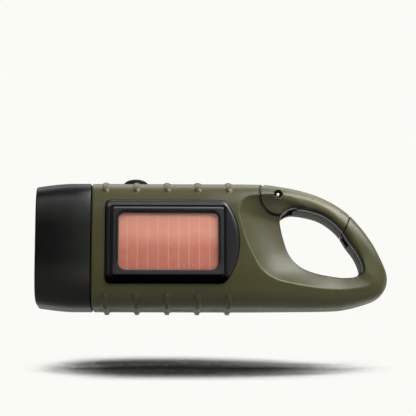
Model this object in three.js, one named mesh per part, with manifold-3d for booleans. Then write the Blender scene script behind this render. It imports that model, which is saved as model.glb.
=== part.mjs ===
// A hand crank flashlight with a solar panel and a carabiner loop, in millimetres.
// X runs along the length from the lamp to the hook, Y from the solar face to the crank,
// and Z up. It stands on the flat bottoms of its lower grip ribs.
import * as THREE from 'three';
import { mergeVertices } from 'three/addons/utils/BufferGeometryUtils.js';
import Module from 'manifold-3d';

const wasm = await Module();
wasm.setup();

// Driving sizes
const halfLength = 67.5;
const halfHeight = 24;
const halfDepth = 18;
const wall = 2;
const seatGap = 0.3;
const partingGap = 0.1;
const runningGap = 0.15;
const overrun = 3;
const squareness = 4.5;
const headLength = 20.9;
const seamX = headLength - halfLength;

// Body
const cavityEnd = 7;
const stationShares = [
  [0.1185, 1.000, -1.000, 1.000], [0.2074, 1.000, -1.000, 0.983], [0.3007, 0.996, -1.000, 0.944],
  [0.3704, 0.973, -1.000, 0.900], [0.4385, 0.947, -1.000, 0.839], [0.5081, 0.908, -1.000, 0.778],
  [0.5778, 0.853, -1.000, 0.728], [0.6474, 0.773, -0.998, 0.683], [0.7156, 0.667, -0.990, 0.644],
  [0.7852, 0.517, -0.959, 0.611], [0.8533, 0.303, -0.908, 0.578], [0.8874, 0.171, -0.879, 0.556],
  [0.9215, 0.020, -0.842, 0.528], [0.9541, -0.161, -0.788, 0.483], [0.9778, -0.304, -0.708, 0.400],
  [0.9926, -0.408, -0.617, 0.278], [1.0000, -0.471, -0.525, 0.133],
];

// Loop: the hole's edge and the crease round it, point for point, clockwise from the hinge
const holeDepth = 8;
const scoopSag = 0.3;
const holeShares = [
  [0.390, 0.499], [0.445, 0.596], [0.505, 0.600], [0.562, 0.571], [0.619, 0.517], [0.677, 0.417],
  [0.734, 0.267], [0.781, 0.060], [0.824, -0.107], [0.854, -0.301], [0.857, -0.406], [0.819, -0.492],
  [0.748, -0.521], [0.666, -0.496], [0.586, -0.448], [0.513, -0.368], [0.462, -0.255], [0.428, -0.110],
  [0.406, 0.068], [0.389, 0.263], [0.383, 0.393],
];
const creaseShares = [
  [0.172, 0.705], [0.277, 0.782], [0.380, 0.794], [0.480, 0.789], [0.558, 0.734], [0.639, 0.649],
  [0.718, 0.516], [0.792, 0.317], [0.849, 0.126], [0.899, -0.115], [0.931, -0.372], [0.900, -0.634],
  [0.785, -0.733], [0.671, -0.740], [0.557, -0.706], [0.442, -0.651], [0.349, -0.584], [0.273, -0.428],
  [0.205, -0.085], [0.164, 0.234], [0.145, 0.498],
];

// Grip ribs
const rib = { count: 5, first: -41, pitch: 11.72, width: 1.8, proud: 0.8, end: 19.3, extra: 0.25 };

// Gate
const pinX = 24.9;
const pinZ = 19;
const gatePinRadius = 1;
const gateHub = 6.9;
const hubFrom = 140;
const hubTo = 285;
const hubStep = 7.25;
const gateSeam = 0.4;
const lug = { radius: 5.8, halfWidth: 4.6, reach: 13 };
const pinSink = { radius: 1.6, floor: 12.6 };
const gateReach = 28.6;
const tipFrom = -42;
const tipTo = -2;
const liner = { halfWidth: 6.4, proud: 0.6, tongue: 1.6, tipGap: 0.25 };
const gateNotch = { from: 25.4, to: 30.2, halfWidth: 5.2, top: 17 };
const gateLinerSpanShares = [0.06, 0.33];
const noseLinerSpanShares = [0.25, 0.505];
const nosePocket = { x: 50.9, z: 2.6, length: 3, halfWidth: 4.4, depth: 1.2, turn: 55 };
const spring = { radius: 3, wire: 0.9, halfWidth: 2.2, leg: 4.5 };

// Solar panel
const solar = { left: -41.1, right: 4.4, bulge: 5.5, halfHeight: 15.8, corner: 2.2 };
const solarPocket = 16.6;
const padThickness = 1.2;
const bezelFace = 19;
const bezelEdge = 1;
const bezelFrame = { left: -38.3, right: 3.7, halfHeight: 13.1, proud: 0.6, corner: 1.6 };
const solarWindow = { left: -36.2, right: 2.3, halfHeight: 11.2, thickness: 0.8, corner: 1.8 };
const cellThickness = 0.6;
const cellInset = 0.5;

// Button and switch
const button = { x: -29.8, radius: 4.9, top: 27.2, crown: 2.4, travel: 0.8, flange: 5.9, flangeThickness: 0.9 };
const buttonStem = 1.6;
const ribClearing = 6.6;
const tact = { width: 5, height: 3.4 };
const switchBoard = { halfWidth: 6, thickness: 1.2, bottom: 13.1 };

// Battery
const cell = { radius: 7.6, height: 5.7, x: -37, bottom: -13.2, count: 3, pitch: 6.1, pole: 3 };
const holder = { halfLength: 9.2, wall: 1.2, halfWidth: 8 };

// Head
const head = { rimHalfHeight: 22.7, rimHalfDepth: 17.2, taper: 13.5, roundness: 0.8, mouth: 5.2 };
const plugSeat = 3.2;
const plug = { length: 3.2, wall: 1.4 };
const lensPlate = { recess: 1, thickness: 1.6, halfHeight: 18.4, halfDepth: 12 };
const lensSeal = { width: 0.9 };
const reflector = { depth: 11, cup: 5.6, throat: 2.7, pitch: 12.2 };
const led = { radius: 2.3, height: 6.4, rim: 2.6, rimHeight: 0.8 };
const ledBoard = { thickness: 1.4, halfHeight: 18.6, halfDepth: 10, corner: 1 };
const sealInset = 0.6;
const sealWidth = 1;
const sealThickness = 0.2;

// Gear train
const gearModule = 0.5;
const pressureAngle = 25;
const addendumShare = 0.88;
const dedendumShare = 1.2;
const backlash = 0.12;
const centreEase = 0.1;
const pinionTeeth = 12;
const driveTeeth = 48;
const wheelTeeth = 36;
const crankX = -8;
const faceWidth = 2.2;
const levelPitch = 2.8;
const levelA = 12.2;
const firstAngle = 140;
const secondAngle = -60;
const thirdAngle = -108;
const axleRadius = 1;
const collarRadius = 2.4;
const plate = { back: -1.6, thickness: 1.4, left: -26.5, right: 2.2, halfHeight: 20.6 };
const post = { radius: 2.2, screw: 0.8, screwHead: 1.9, headHeight: 1, bite: 4.6 };
const postPlaces = [[-1.5, 17.5], [-1.5, -17.5], [-25, -19.4]];
const magnet = { radius: 5.4, height: 3.6 };
const coil = { inner: 6, outer: 6.9 };
const stator = { outer: 7.6, wall: 0.4, height: 5.4 };

// Crank
const crankShaftRadius = 2.6;
const bush = { radius: 4.4, flange: 6, flangeThickness: 0.9 };
const arm = { length: 36, hub: 7.4, tip: 6.6, face: 18.5, thickness: 4.2, edge: 0.6 };
const knob = { radius: 3.3, length: 12.6, bore: 1.7, post: 1.4, eye: 2, fromTip: 5.2, lift: 1.3, nose: 0.8 };
const knobSlot = { halfWidth: 3.8, before: 3.1, length: 19.5 };
const knobPinRadius = 0.8;
const crankScrew = { radius: 2.5, height: 1.2, shank: 1.1, depth: 6 };

// Main board
const boardMargin = 2.4;
const mainBoard = { front: -8, thickness: 1.6, left: -26, right: 2, halfHeight: halfHeight - wall - boardMargin };
const boardEdge = 3;
const boardPostPlaces = [
  [mainBoard.left + boardEdge, mainBoard.halfHeight - boardEdge],
  [mainBoard.right - boardEdge, boardEdge - mainBoard.halfHeight],
];
const capacitor = { radius: 2.6, length: 4, x: -4, z: 8 };
const chip = { size: 5, height: 1.4, x: -14, z: 4 };

// Shell screws
const shellScrewPlaces = [[-42, 18.3], [-42, -18.3], [6.4, 18.3], [6.4, -18.3], [54, -19.3]];
const tailScrew = shellScrewPlaces.length - 1;
const boss = { radius: 3.6, mate: 3 };
const shellScrew = { head: 2.5, headHeight: 1.6, shank: 1.1, sink: 13.4, reach: 7, tailSink: 5.4 };

const ledgeX = -halfLength;
const riseZ = halfHeight + rib.proud;

// Finishes
function finish(colour, roughness, metalness = 0) {
  return new THREE.MeshStandardMaterial({ color: colour, roughness, metalness });
}
const green = finish(0x53523a, 0.6);
const black = finish(0x1c1c1b, 0.5);
const darkGrey = finish(0x4b4c47, 0.5);
const copper = finish(0xcc8673, 0.35, 0.3);
const clear = finish(0xdfe4e6, 0.08);
const steel = finish(0xc4c6c8, 0.3, 1);
const brass = finish(0xb89a50, 0.35, 1);
const white = finish(0xe6e3da, 0.5);
const board = finish(0x1f5c3a, 0.5);
const rubber = finish(0x161616, 0.85);
const magnetGrey = finish(0x3f4146, 0.4, 0.6);
const winding = finish(0xa8562e, 0.4, 0.6);

// Solids
function solid(geometry) {
  const bare = geometry.clone();
  bare.deleteAttribute('normal');
  bare.deleteAttribute('uv');
  const merged = mergeVertices(bare);
  const vertProperties = new Float32Array(merged.attributes.position.array);
  const triVerts = new Uint32Array(merged.index.array);
  return new wasm.Manifold(new wasm.Mesh({ numProp: 3, vertProperties, triVerts }));
}

function geometryOf(body) {
  const mesh = body.getMesh();
  const geometry = new THREE.BufferGeometry();
  const places = new Float32Array(mesh.numVert * 3);
  for (let i = 0; i < mesh.numVert; i += 1) {
    for (let k = 0; k < 3; k += 1) places[i * 3 + k] = mesh.vertProperties[i * mesh.numProp + k];
  }
  geometry.setAttribute('position', new THREE.BufferAttribute(places, 3));
  geometry.setIndex(new THREE.BufferAttribute(new Uint32Array(mesh.triVerts), 1));
  geometry.computeVertexNormals();
  return geometry;
}

const model = new THREE.Group();
const crankReach = arm.face + knob.eye + runningGap + knob.lift + knob.radius;
const panelReach = bezelFace + bezelFrame.proud;
model.position.set(0, (panelReach - crankReach) / 2, riseZ);

function piece(name, body, material) {
  const mesh = new THREE.Mesh(geometryOf(body), material);
  mesh.name = name;
  model.add(mesh);
}

function box(x0, x1, y0, y1, z0, z1) {
  const geometry = new THREE.BoxGeometry(x1 - x0, y1 - y0, z1 - z0);
  geometry.translate((x0 + x1) / 2, (y0 + y1) / 2, (z0 + z1) / 2);
  return solid(geometry);
}

function rodY(x, z, radius, y0, y1, sides = 14) {
  const geometry = new THREE.CylinderGeometry(radius, radius, y1 - y0, sides);
  geometry.translate(x, (y0 + y1) / 2, z);
  return solid(geometry);
}

function rodZ(x, y, radius, z0, z1, sides = 14) {
  const geometry = new THREE.CylinderGeometry(radius, radius, z1 - z0, sides);
  geometry.rotateX(Math.PI / 2);
  geometry.translate(x, y, (z0 + z1) / 2);
  return solid(geometry);
}

function rodX(y, z, radius, x0, x1, sides = 14) {
  const geometry = new THREE.CylinderGeometry(radius, radius, x1 - x0, sides);
  geometry.rotateZ(Math.PI / 2);
  geometry.translate((x0 + x1) / 2, y, z);
  return solid(geometry);
}

// A lathe about an axis along +X, from [distance along X, radius] pairs that close on the axis
function turnedX(profile, x, y, z, sides = 20) {
  const points = profile.map(([along, radius]) => new THREE.Vector2(radius, along));
  const geometry = new THREE.LatheGeometry(points, sides);
  geometry.rotateZ(-Math.PI / 2);
  geometry.translate(x, y, z);
  return solid(geometry);
}

// A shape drawn in X and Z, as a slab from y0 to y1
function slab(shape, y0, y1, segments = 5) {
  const geometry = new THREE.ExtrudeGeometry(shape, { depth: y1 - y0, bevelEnabled: false, curveSegments: segments });
  geometry.rotateX(Math.PI / 2);
  geometry.translate(0, y1, 0);
  return solid(geometry);
}

function polygon(points) {
  return new THREE.Shape(points.map(([x, z]) => new THREE.Vector2(x, z)));
}

function roundedRect(x0, x1, z0, z1, radius) {
  const shape = new THREE.Shape();
  shape.moveTo(x0 + radius, z0);
  shape.lineTo(x1 - radius, z0);
  shape.absarc(x1 - radius, z0 + radius, radius, -Math.PI / 2, 0, false);
  shape.lineTo(x1, z1 - radius);
  shape.absarc(x1 - radius, z1 - radius, radius, 0, Math.PI / 2, false);
  shape.lineTo(x0 + radius, z1);
  shape.absarc(x0 + radius, z1 - radius, radius, Math.PI / 2, Math.PI, false);
  shape.lineTo(x0, z0 + radius);
  shape.absarc(x0 + radius, z0 + radius, radius, Math.PI, Math.PI * 1.5, false);
  return shape;
}

// A slab of a rounded rectangle in Y and Z, from x0 to x1
function slabX(halfWidth, height, radius, x0, x1) {
  const geometry = new THREE.ExtrudeGeometry(
    roundedRect(-halfWidth, halfWidth, -height, height, radius),
    { depth: x1 - x0, bevelEnabled: false, curveSegments: 4 },
  );
  geometry.rotateY(Math.PI / 2);
  geometry.rotateX(Math.PI / 2);
  geometry.translate(x0, 0, 0);
  return solid(geometry);
}

// A closed body through rings of equal point count, with flat or folded ends
function loft(rings) {
  const count = rings[0].length;
  const places = rings.flat().flatMap((p) => [p.x, p.y, p.z]);
  const index = [];
  for (let r = 0; r + 1 < rings.length; r += 1) {
    for (let i = 0; i < count; i += 1) {
      const a = r * count + i;
      const b = r * count + ((i + 1) % count);
      index.push(a, b, b + count, a, b + count, a + count);
    }
  }
  const flat = (p, ring) => {
    const alongX = Math.abs(ring[0].x - ring[1].x) + Math.abs(ring[1].x - ring[2].x) === 0;
    return alongX ? new THREE.Vector2(p.y, p.z) : new THREE.Vector2(p.x, p.z);
  };
  const cap = (ring) => {
    const outline = ring.map((p) => flat(p, ring));
    const faces = THREE.ShapeUtils.triangulateShape(outline, []);
    const [a, b, c] = faces[0].map((i) => outline[i]);
    const turn = (b.x - a.x) * (c.y - a.y) - (b.y - a.y) * (c.x - a.x);
    const sameWay = turn > 0 === THREE.ShapeUtils.area(outline) > 0;
    return sameWay ? faces : faces.map(([i, j, k]) => [i, k, j]);
  };
  const last = (rings.length - 1) * count;
  cap(rings[0]).forEach(([a, b, c]) => index.push(a, c, b));
  cap(rings[rings.length - 1]).forEach(([a, b, c]) => index.push(last + a, last + b, last + c));
  const geometry = new THREE.BufferGeometry();
  geometry.setAttribute('position', new THREE.BufferAttribute(new Float32Array(places), 3));
  geometry.setIndex(index);
  const body = solid(geometry);
  if (body.volume() >= 0) return body;
  geometry.setIndex(index.map((_, i) => index[i - (i % 3) + (2 - (i % 3))]));
  return solid(geometry);
}

// A squircle section across X, from its top, bottom and half depth
function section(x, top, bottom, depth, sides = 28) {
  const centre = (top + bottom) / 2;
  const height = (top - bottom) / 2;
  const ring = [];
  for (let i = 0; i < sides; i += 1) {
    const angle = (i / sides) * Math.PI * 2;
    const bow = (value) => Math.sign(value) * Math.abs(value) ** (2 / squareness);
    ring.push(new THREE.Vector3(x, depth * bow(Math.cos(angle)), centre + height * bow(Math.sin(angle))));
  }
  return ring;
}

// The body's envelope from the seam with the head to the tip of the hook
function bodyRings() {
  const stations = stationShares.map(([x, top, bottom, depth]) => [
    x * halfLength, top * halfHeight, bottom * halfHeight, depth * halfDepth,
  ]);
  return [[seamX, halfHeight, -halfHeight, halfDepth], ...stations].map((row) => section(...row));
}

function envelopeDepth(x, z) {
  const rows = [[seamX / halfLength, 1, -1, 1], ...stationShares];
  const share = x / halfLength;
  const after = rows.findIndex(([at]) => at >= share);
  const [x0, top0, bottom0, depth0] = rows[after - 1];
  const [x1, top1, bottom1, depth1] = rows[after];
  const t = (share - x0) / (x1 - x0);
  const top = THREE.MathUtils.lerp(top0, top1, t) * halfHeight;
  const bottom = THREE.MathUtils.lerp(bottom0, bottom1, t) * halfHeight;
  const depth = THREE.MathUtils.lerp(depth0, depth1, t) * halfDepth;
  const height = Math.min(Math.abs((z - (top + bottom) / 2) / ((top - bottom) / 2)), 1);
  return depth * (1 - height ** squareness) ** (1 / squareness);
}

const holePoints = holeShares.map(([x, z]) => [x * halfLength, z * halfHeight]);
const creasePoints = creaseShares.map(([x, z]) => [x * halfLength, z * halfHeight]);

// The scoop that slopes from the crease in to the hole's edge, on one face of the body
function scoop(side) {
  const rings = [0, 1 / 2, 1].map((t) => holePoints.map(([hx, hz], i) => {
    const [cx, cz] = creasePoints[i];
    const rim = envelopeDepth(cx, cz) + partingGap;
    const slope = t - scoopSag * t * (1 - t) * 2;
    const y = side * THREE.MathUtils.lerp(holeDepth, rim, slope);
    return new THREE.Vector3(THREE.MathUtils.lerp(hx, cx, t), y, THREE.MathUtils.lerp(hz, cz, t));
  }));
  const lid = creasePoints.map(([x, z]) => new THREE.Vector3(x, side * (halfDepth + overrun), z));
  return loft([...rings, lid]);
}

function ribbedEnvelope() {
  let body = loft(bodyRings());
  const grown = rib.proud + rib.extra;
  for (let i = 0; i < rib.count; i += 1) {
    const x = rib.first + i * rib.pitch;
    const rings = [x - rib.width / 2, x + rib.width / 2].map(
      (at) => section(at, halfHeight + grown, -halfHeight - grown, halfDepth + rib.proud),
    );
    const hoop = loft(rings);
    const deep = halfDepth + overrun;
    const from = x - rib.width;
    const to = x + rib.width;
    const above = box(from, to, -deep, deep, rib.end, riseZ);
    const below = box(from, to, -deep, deep, -riseZ, -rib.end);
    body = body.add(hoop.intersect(above)).add(hoop.intersect(below));
  }
  return body;
}

// The face of the gate from outside, grown by a seam's width for the cut in the body
function gateRegion(grow, depth) {
  const points = [];
  const arc = (radius, from, to, step) => {
    for (let angle = from; angle <= to; angle += step) {
      const turn = THREE.MathUtils.degToRad(angle);
      points.push([pinX + radius * Math.cos(turn), pinZ + radius * Math.sin(turn)]);
    }
  };
  const start = THREE.MathUtils.degToRad(hubFrom);
  points.push([pinX + (gateHub + grow) * Math.cos(start), halfHeight + overrun]);
  arc(gateHub + grow, hubFrom, hubTo, hubStep);
  arc(gateReach + grow, tipFrom, tipTo, 4);
  points.push([pinX + gateReach + grow, halfHeight + overrun]);
  return slab(polygon(points), -depth, depth);
}

// The slot in the gate's hinge end that the body's lug stands in
function lugSlot(clearance) {
  const width = lug.halfWidth + clearance;
  const radius = lug.radius + clearance;
  const hub = rodY(pinX, pinZ, radius, -width, width, 32);
  const low = holePoints[0][1] - radius;
  const way = box(pinX - lug.reach, pinX + radius / 3, -width, width, low, pinZ - radius / 2);
  const back = box(pinX - lug.reach, pinX, -width, width, low, halfHeight + overrun);
  return hub.add(way).add(back);
}

function bodyLug() {
  const width = lug.halfWidth;
  const hub = rodY(pinX, pinZ, lug.radius, -width, width, 32);
  const neck = box(pinX - lug.reach, pinX, -width, width, pinZ - lug.radius, pinZ + lug.radius / 2);
  return hub.add(neck);
}

// A band along part of the hole's edge: spans are shares of the way round, offsets go into the hole
function edgeBand(spanShares, outward, inward, halfWidth) {
  const curve = new THREE.CatmullRomCurve3(
    holePoints.map(([x, z]) => new THREE.Vector3(x, 0, z)),
    true,
    'centripetal',
  );
  const steps = 14;
  const outerSide = [];
  const innerSide = [];
  for (let i = 0; i <= steps; i += 1) {
    const t = THREE.MathUtils.lerp(spanShares[0], spanShares[1], i / steps);
    const p = curve.getPointAt(t);
    const tangent = curve.getTangentAt(t);
    const normal = new THREE.Vector2(tangent.z, -tangent.x);
    outerSide.push([p.x - normal.x * outward, p.z - normal.y * outward]);
    innerSide.push([p.x + normal.x * inward, p.z + normal.y * inward]);
  }
  return slab(polygon([...outerSide, ...innerSide.reverse()]), -halfWidth, halfWidth);
}

function linerGroove(spanShares) {
  return edgeBand(spanShares, liner.tongue + seatGap, liner.proud, liner.halfWidth + seatGap);
}

const holeSlab = slab(polygon(holePoints), -halfDepth - overrun, halfDepth + overrun);
const scoops = scoop(-1).add(scoop(1));
const whole = ribbedEnvelope().subtract(scoops).subtract(holeSlab);

// Gear places
function stepFrom([x, z], distance, angle) {
  const turn = THREE.MathUtils.degToRad(angle);
  return [x + distance * Math.cos(turn), z + distance * Math.sin(turn)];
}
const firstDistance = ((driveTeeth + pinionTeeth) * gearModule) / 2 + centreEase;
const nextDistance = ((wheelTeeth + pinionTeeth) * gearModule) / 2 + centreEase;
const crankPlace = [crankX, 0];
const firstPlace = stepFrom(crankPlace, firstDistance, firstAngle);
const secondPlace = stepFrom(firstPlace, nextDistance, secondAngle);
const rotorPlace = stepFrom(secondPlace, nextDistance, thirdAngle);
const levelB = levelA - levelPitch;
const levelC = levelB - levelPitch;

// The outline of one involute gear, with a tooth centred on the phase angle
function gearSolid(teeth, [x, z], phase, bore, y0, y1) {
  const pitch = (teeth * gearModule) / 2;
  const pressure = THREE.MathUtils.degToRad(pressureAngle);
  const base = pitch * Math.cos(pressure);
  const tip = pitch + addendumShare * gearModule;
  const root = pitch - dedendumShare * gearModule;
  const involute = (radius) => Math.sqrt(Math.max((radius / base) ** 2 - 1, 0))
    - Math.atan(Math.sqrt(Math.max((radius / base) ** 2 - 1, 0)));
  const halfTooth = Math.PI / (2 * teeth) - backlash / (2 * pitch);
  const flank = (radius) => halfTooth + involute(pitch) - involute(Math.max(radius, base));
  const radii = root < base ? [root, base, tip] : [root, tip];
  const points = [];
  for (let tooth = 0; tooth < teeth; tooth += 1) {
    const centre = phase + (tooth / teeth) * Math.PI * 2;
    radii.forEach((radius) => points.push([radius, centre - flank(radius)]));
    [...radii].reverse().forEach((radius) => points.push([radius, centre + flank(radius)]));
  }
  const outline = points.map(([radius, angle]) => [x + radius * Math.cos(angle), z + radius * Math.sin(angle)]);
  const shape = polygon(outline.filter(([px, pz], i) => {
    const [qx, qz] = outline[(i + 1) % outline.length];
    return Math.hypot(px - qx, pz - qz) > gearModule / 100;
  }));
  const wheel = slab(shape, y0, y1);
  return wheel.subtract(rodY(x, z, bore, y0 - overrun, y1 + overrun, 16));
}

// The phase of the following wheel, from the leading wheel's phase and the way to it
function meshPhase(leadTeeth, leadPhase, angle, teeth) {
  const turn = THREE.MathUtils.degToRad(angle);
  const leadShare = ((turn - leadPhase) / (Math.PI * 2)) * leadTeeth;
  const followShare = 0.5 - leadShare;
  return turn + Math.PI - (followShare / teeth) * Math.PI * 2;
}

function compoundGear(place, leadTeeth, leadPhase, angle, wheelY, pinionY) {
  const bore = axleRadius + runningGap;
  const phase = meshPhase(leadTeeth, leadPhase, angle, pinionTeeth);
  const pinion = gearSolid(pinionTeeth, place, phase, bore, wheelY + faceWidth - gearModule, pinionY + faceWidth);
  const wheel = gearSolid(wheelTeeth, place, 0, bore, wheelY, wheelY + faceWidth);
  return wheel.add(pinion);
}

// Shells
function cavity() {
  return loft([seamX - overrun, cavityEnd].map(
    (x) => section(x, halfHeight - wall, wall - halfHeight, halfDepth - wall),
  ));
}

function solarOutline(grow) {
  const shape = new THREE.Shape();
  const { left, right, bulge, corner } = solar;
  const height = solar.halfHeight + grow;
  const sag = bulge + grow;
  const radius = (height * height + sag * sag) / (2 * sag);
  const centre = right + sag - radius;
  const sweep = Math.asin(height / radius);
  shape.moveTo(left - grow + corner, -height);
  shape.lineTo(right, -height);
  shape.absarc(centre, 0, radius, -sweep, sweep, false);
  shape.lineTo(left - grow + corner, height);
  shape.absarc(left - grow + corner, height - corner, corner, Math.PI / 2, Math.PI, false);
  shape.lineTo(left - grow, corner - height);
  shape.absarc(left - grow + corner, corner - height, corner, Math.PI, Math.PI * 1.5, false);
  return shape;
}

function solarRecess() {
  const recess = slab(solarOutline(seatGap), -halfDepth - overrun, -solarPocket, 8);
  const port = rodY(solar.left + boss.radius, 0, buttonStem, -halfDepth, wall - halfDepth + overrun, 12);
  return recess.add(port);
}

function buttonHole() {
  const { x, radius } = button;
  const hole = rodZ(x, 0, radius + seatGap, halfHeight - wall - overrun, riseZ + overrun);
  const clearing = rodZ(x, 0, ribClearing, halfHeight - partingGap, riseZ + overrun, 32);
  return hole.add(clearing);
}

function crankBore() {
  return rodY(crankX, 0, bush.radius + seatGap, halfDepth - wall - overrun, halfDepth + overrun, 32);
}

function screwSink([x, z], isTail) {
  const sink = isTail ? shellScrew.tailSink : shellScrew.sink;
  const seat = rodY(x, z, shellScrew.head + seatGap, sink - seatGap, halfDepth + overrun);
  const way = rodY(x, z, shellScrew.shank + seatGap, -shellScrew.reach - seatGap, sink, 16);
  return seat.add(way);
}

function withBosses(shell, side) {
  let body = shell;
  shellScrewPlaces.forEach(([x, z], i) => {
    if (i === tailScrew) return;
    const from = side > 0 ? partingGap : wall / 2 - halfDepth;
    const to = side > 0 ? halfDepth - wall / 2 : -partingGap;
    const rod = rodY(x, z, side > 0 ? boss.radius : boss.mate, from, to);
    body = body.add(rod.intersect(whole));
  });
  return body;
}

function frontShell() {
  const half = box(seamX - overrun, halfLength + overrun, -halfDepth - overrun, -partingGap, -riseZ, riseZ);
  const pad = box(solar.left - wall, cavityEnd + overrun, -halfDepth, padThickness - solarPocket,
    -halfHeight, halfHeight);
  const open = cavity().subtract(pad);
  let body = whole.intersect(half).subtract(open);
  body = withBosses(body, -1);
  boardPostPlaces.forEach(([x, z]) => {
    const rod = rodY(x, z, post.radius, wall / 2 - halfDepth, mainBoard.front - mainBoard.thickness - seatGap);
    body = body.add(rod.intersect(whole));
  });
  return fitLoop(body, half).subtract(solarRecess());
}

function backShell() {
  const half = box(seamX - overrun, halfLength + overrun, partingGap, halfDepth + overrun, -riseZ, riseZ);
  let body = whole.intersect(half).subtract(cavity());
  body = withBosses(body, 1);
  const rotorSide = plate.back + seatGap;
  postPlaces.forEach(([x, z]) => {
    body = body.add(rodY(x, z, post.radius, rotorSide, halfDepth - wall / 2).intersect(whole));
  });
  const collarTop = levelA + faceWidth + seatGap;
  body = body.add(rodY(firstPlace[0], firstPlace[1], collarRadius, collarTop, halfDepth - wall / 2, 12));
  body = body.subtract(rodY(firstPlace[0], firstPlace[1], axleRadius + runningGap, collarTop - overrun,
    halfDepth - wall, 16));
  return fitLoop(body, half.add(box(plate.left, cavityEnd, plate.back, partingGap, -halfHeight, halfHeight)))
    .subtract(crankBore());
}

// What both shells share: the gate's opening, the hinge lug, liners, screws, button and posts' screws
function fitLoop(shell, half) {
  const deep = halfDepth + overrun;
  let body = shell.subtract(gateRegion(gateSeam, deep));
  body = body.add(bodyLug().intersect(whole).intersect(half));
  body = body.subtract(rodY(pinX, pinZ, gatePinRadius + runningGap, -deep, deep, 16));
  const springRoom = rodY(pinX, pinZ, spring.radius + spring.wire / 2 + seatGap, -spring.halfWidth - seatGap,
    spring.halfWidth + seatGap);
  body = body.subtract(springRoom).subtract(springLegRoom(seatGap));
  body = body.subtract(linerGroove(noseLinerSpanShares));
  shellScrewPlaces.forEach((place, i) => {
    body = body.subtract(screwSink(place, i === tailScrew));
  });
  const pilot = post.screw + runningGap;
  postPlaces.forEach(([x, z]) => {
    body = body.subtract(rodY(x, z, pilot, plate.back - overrun, plate.back + post.bite + seatGap, 12));
  });
  boardPostPlaces.forEach(([x, z]) => {
    body = body.subtract(rodY(x, z, pilot, mainBoard.front - mainBoard.thickness - overrun - seatGap, mainBoard.front, 12));
  });
  return body.subtract(buttonHole());
}

function springLegRoom(grow) {
  const half = spring.halfWidth / 2 + grow;
  const across = spring.wire / 2 + grow;
  const from = pinX - spring.radius - spring.leg - grow;
  return box(from, pinX - spring.radius, -half, half, pinZ - across, pinZ + across);
}

function makeShells() {
  piece('front_shell', frontShell(), green);
  piece('back_shell', backShell(), green);
}

// Carabiner
function makeGate() {
  const deep = halfDepth + overrun;
  let body = whole.intersect(gateRegion(0, deep)).subtract(lugSlot(gateSeam));
  body = body.subtract(rodY(pinX, pinZ, gatePinRadius + runningGap, -deep, deep, 16));
  [-1, 1].forEach((side) => {
    const from = side > 0 ? pinSink.floor : -deep;
    const to = side > 0 ? deep : -pinSink.floor;
    body = body.subtract(rodY(pinX, pinZ, pinSink.radius, from, to));
  });
  const n = gateNotch;
  body = body.subtract(box(n.from, n.to, -n.halfWidth, n.halfWidth, 0, n.top));
  body = body.subtract(linerGroove(gateLinerSpanShares));
  const parts = body.decompose().sort((a, b) => b.volume() - a.volume());
  piece('gate', parts[0], green);
  const end = pinSink.floor + seatGap;
  piece('gate_pin', rodY(pinX, pinZ, gatePinRadius, -end, end, 16), steel);
  const gateBand = edgeBand(gateLinerSpanShares, liner.tongue, liner.proud, liner.halfWidth);
  piece('gate_liner', gateBand.intersect(gateRegion(0, deep)), darkGrey);
  const p = nosePocket;
  const pocket = box(-p.length / 2, p.length / 2, -p.halfWidth, p.halfWidth, -p.depth, p.depth);
  const noseBand = edgeBand(noseLinerSpanShares, liner.tongue, liner.proud, liner.halfWidth);
  piece('nose_liner', noseBand.subtract(gateRegion(liner.tipGap, deep))
    .subtract(pocket.rotate([0, p.turn, 0]).translate([p.x, 0, p.z])), darkGrey);
  const bore = spring.radius - spring.wire;
  const turns = rodY(pinX, pinZ, spring.radius + spring.wire / 2, -spring.halfWidth, spring.halfWidth);
  const hollow = rodY(pinX, pinZ, bore, -spring.halfWidth - overrun, spring.halfWidth + overrun);
  piece('gate_spring', turns.subtract(hollow).add(springLegRoom(0)), steel);
}

// Solar panel
function makeSolarPanel() {
  const back = -solarPocket - seatGap;
  const { left, right, corner } = solarWindow;
  const opening = slab(roundedRect(left, right, -solarWindow.halfHeight, solarWindow.halfHeight, corner),
    -bezelFace - overrun, back + overrun);
  const rim = slab(solarOutline(-bezelEdge), -bezelFace, back, 8);
  const skirt = slab(solarOutline(0), bezelEdge - bezelFace, back, 8);
  const f = bezelFrame;
  const frame = slab(roundedRect(f.left, f.right, -f.halfHeight, f.halfHeight, f.corner),
    -bezelFace - f.proud, back);
  piece('solar_bezel', rim.add(skirt).add(frame).subtract(opening), black);
  const pane = roundedRect(left + seatGap, right - seatGap, seatGap - solarWindow.halfHeight,
    solarWindow.halfHeight - seatGap, corner);
  const cellBack = back;
  const paneBack = cellBack - cellThickness - seatGap;
  piece('solar_window', slab(pane, paneBack - solarWindow.thickness, paneBack), clear);
  const tall = solarWindow.halfHeight - cellInset;
  const cellShape = roundedRect(left + cellInset, right - cellInset, -tall, tall, cellInset);
  piece('solar_cell', slab(cellShape, cellBack - cellThickness, cellBack), copper);
}

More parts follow.
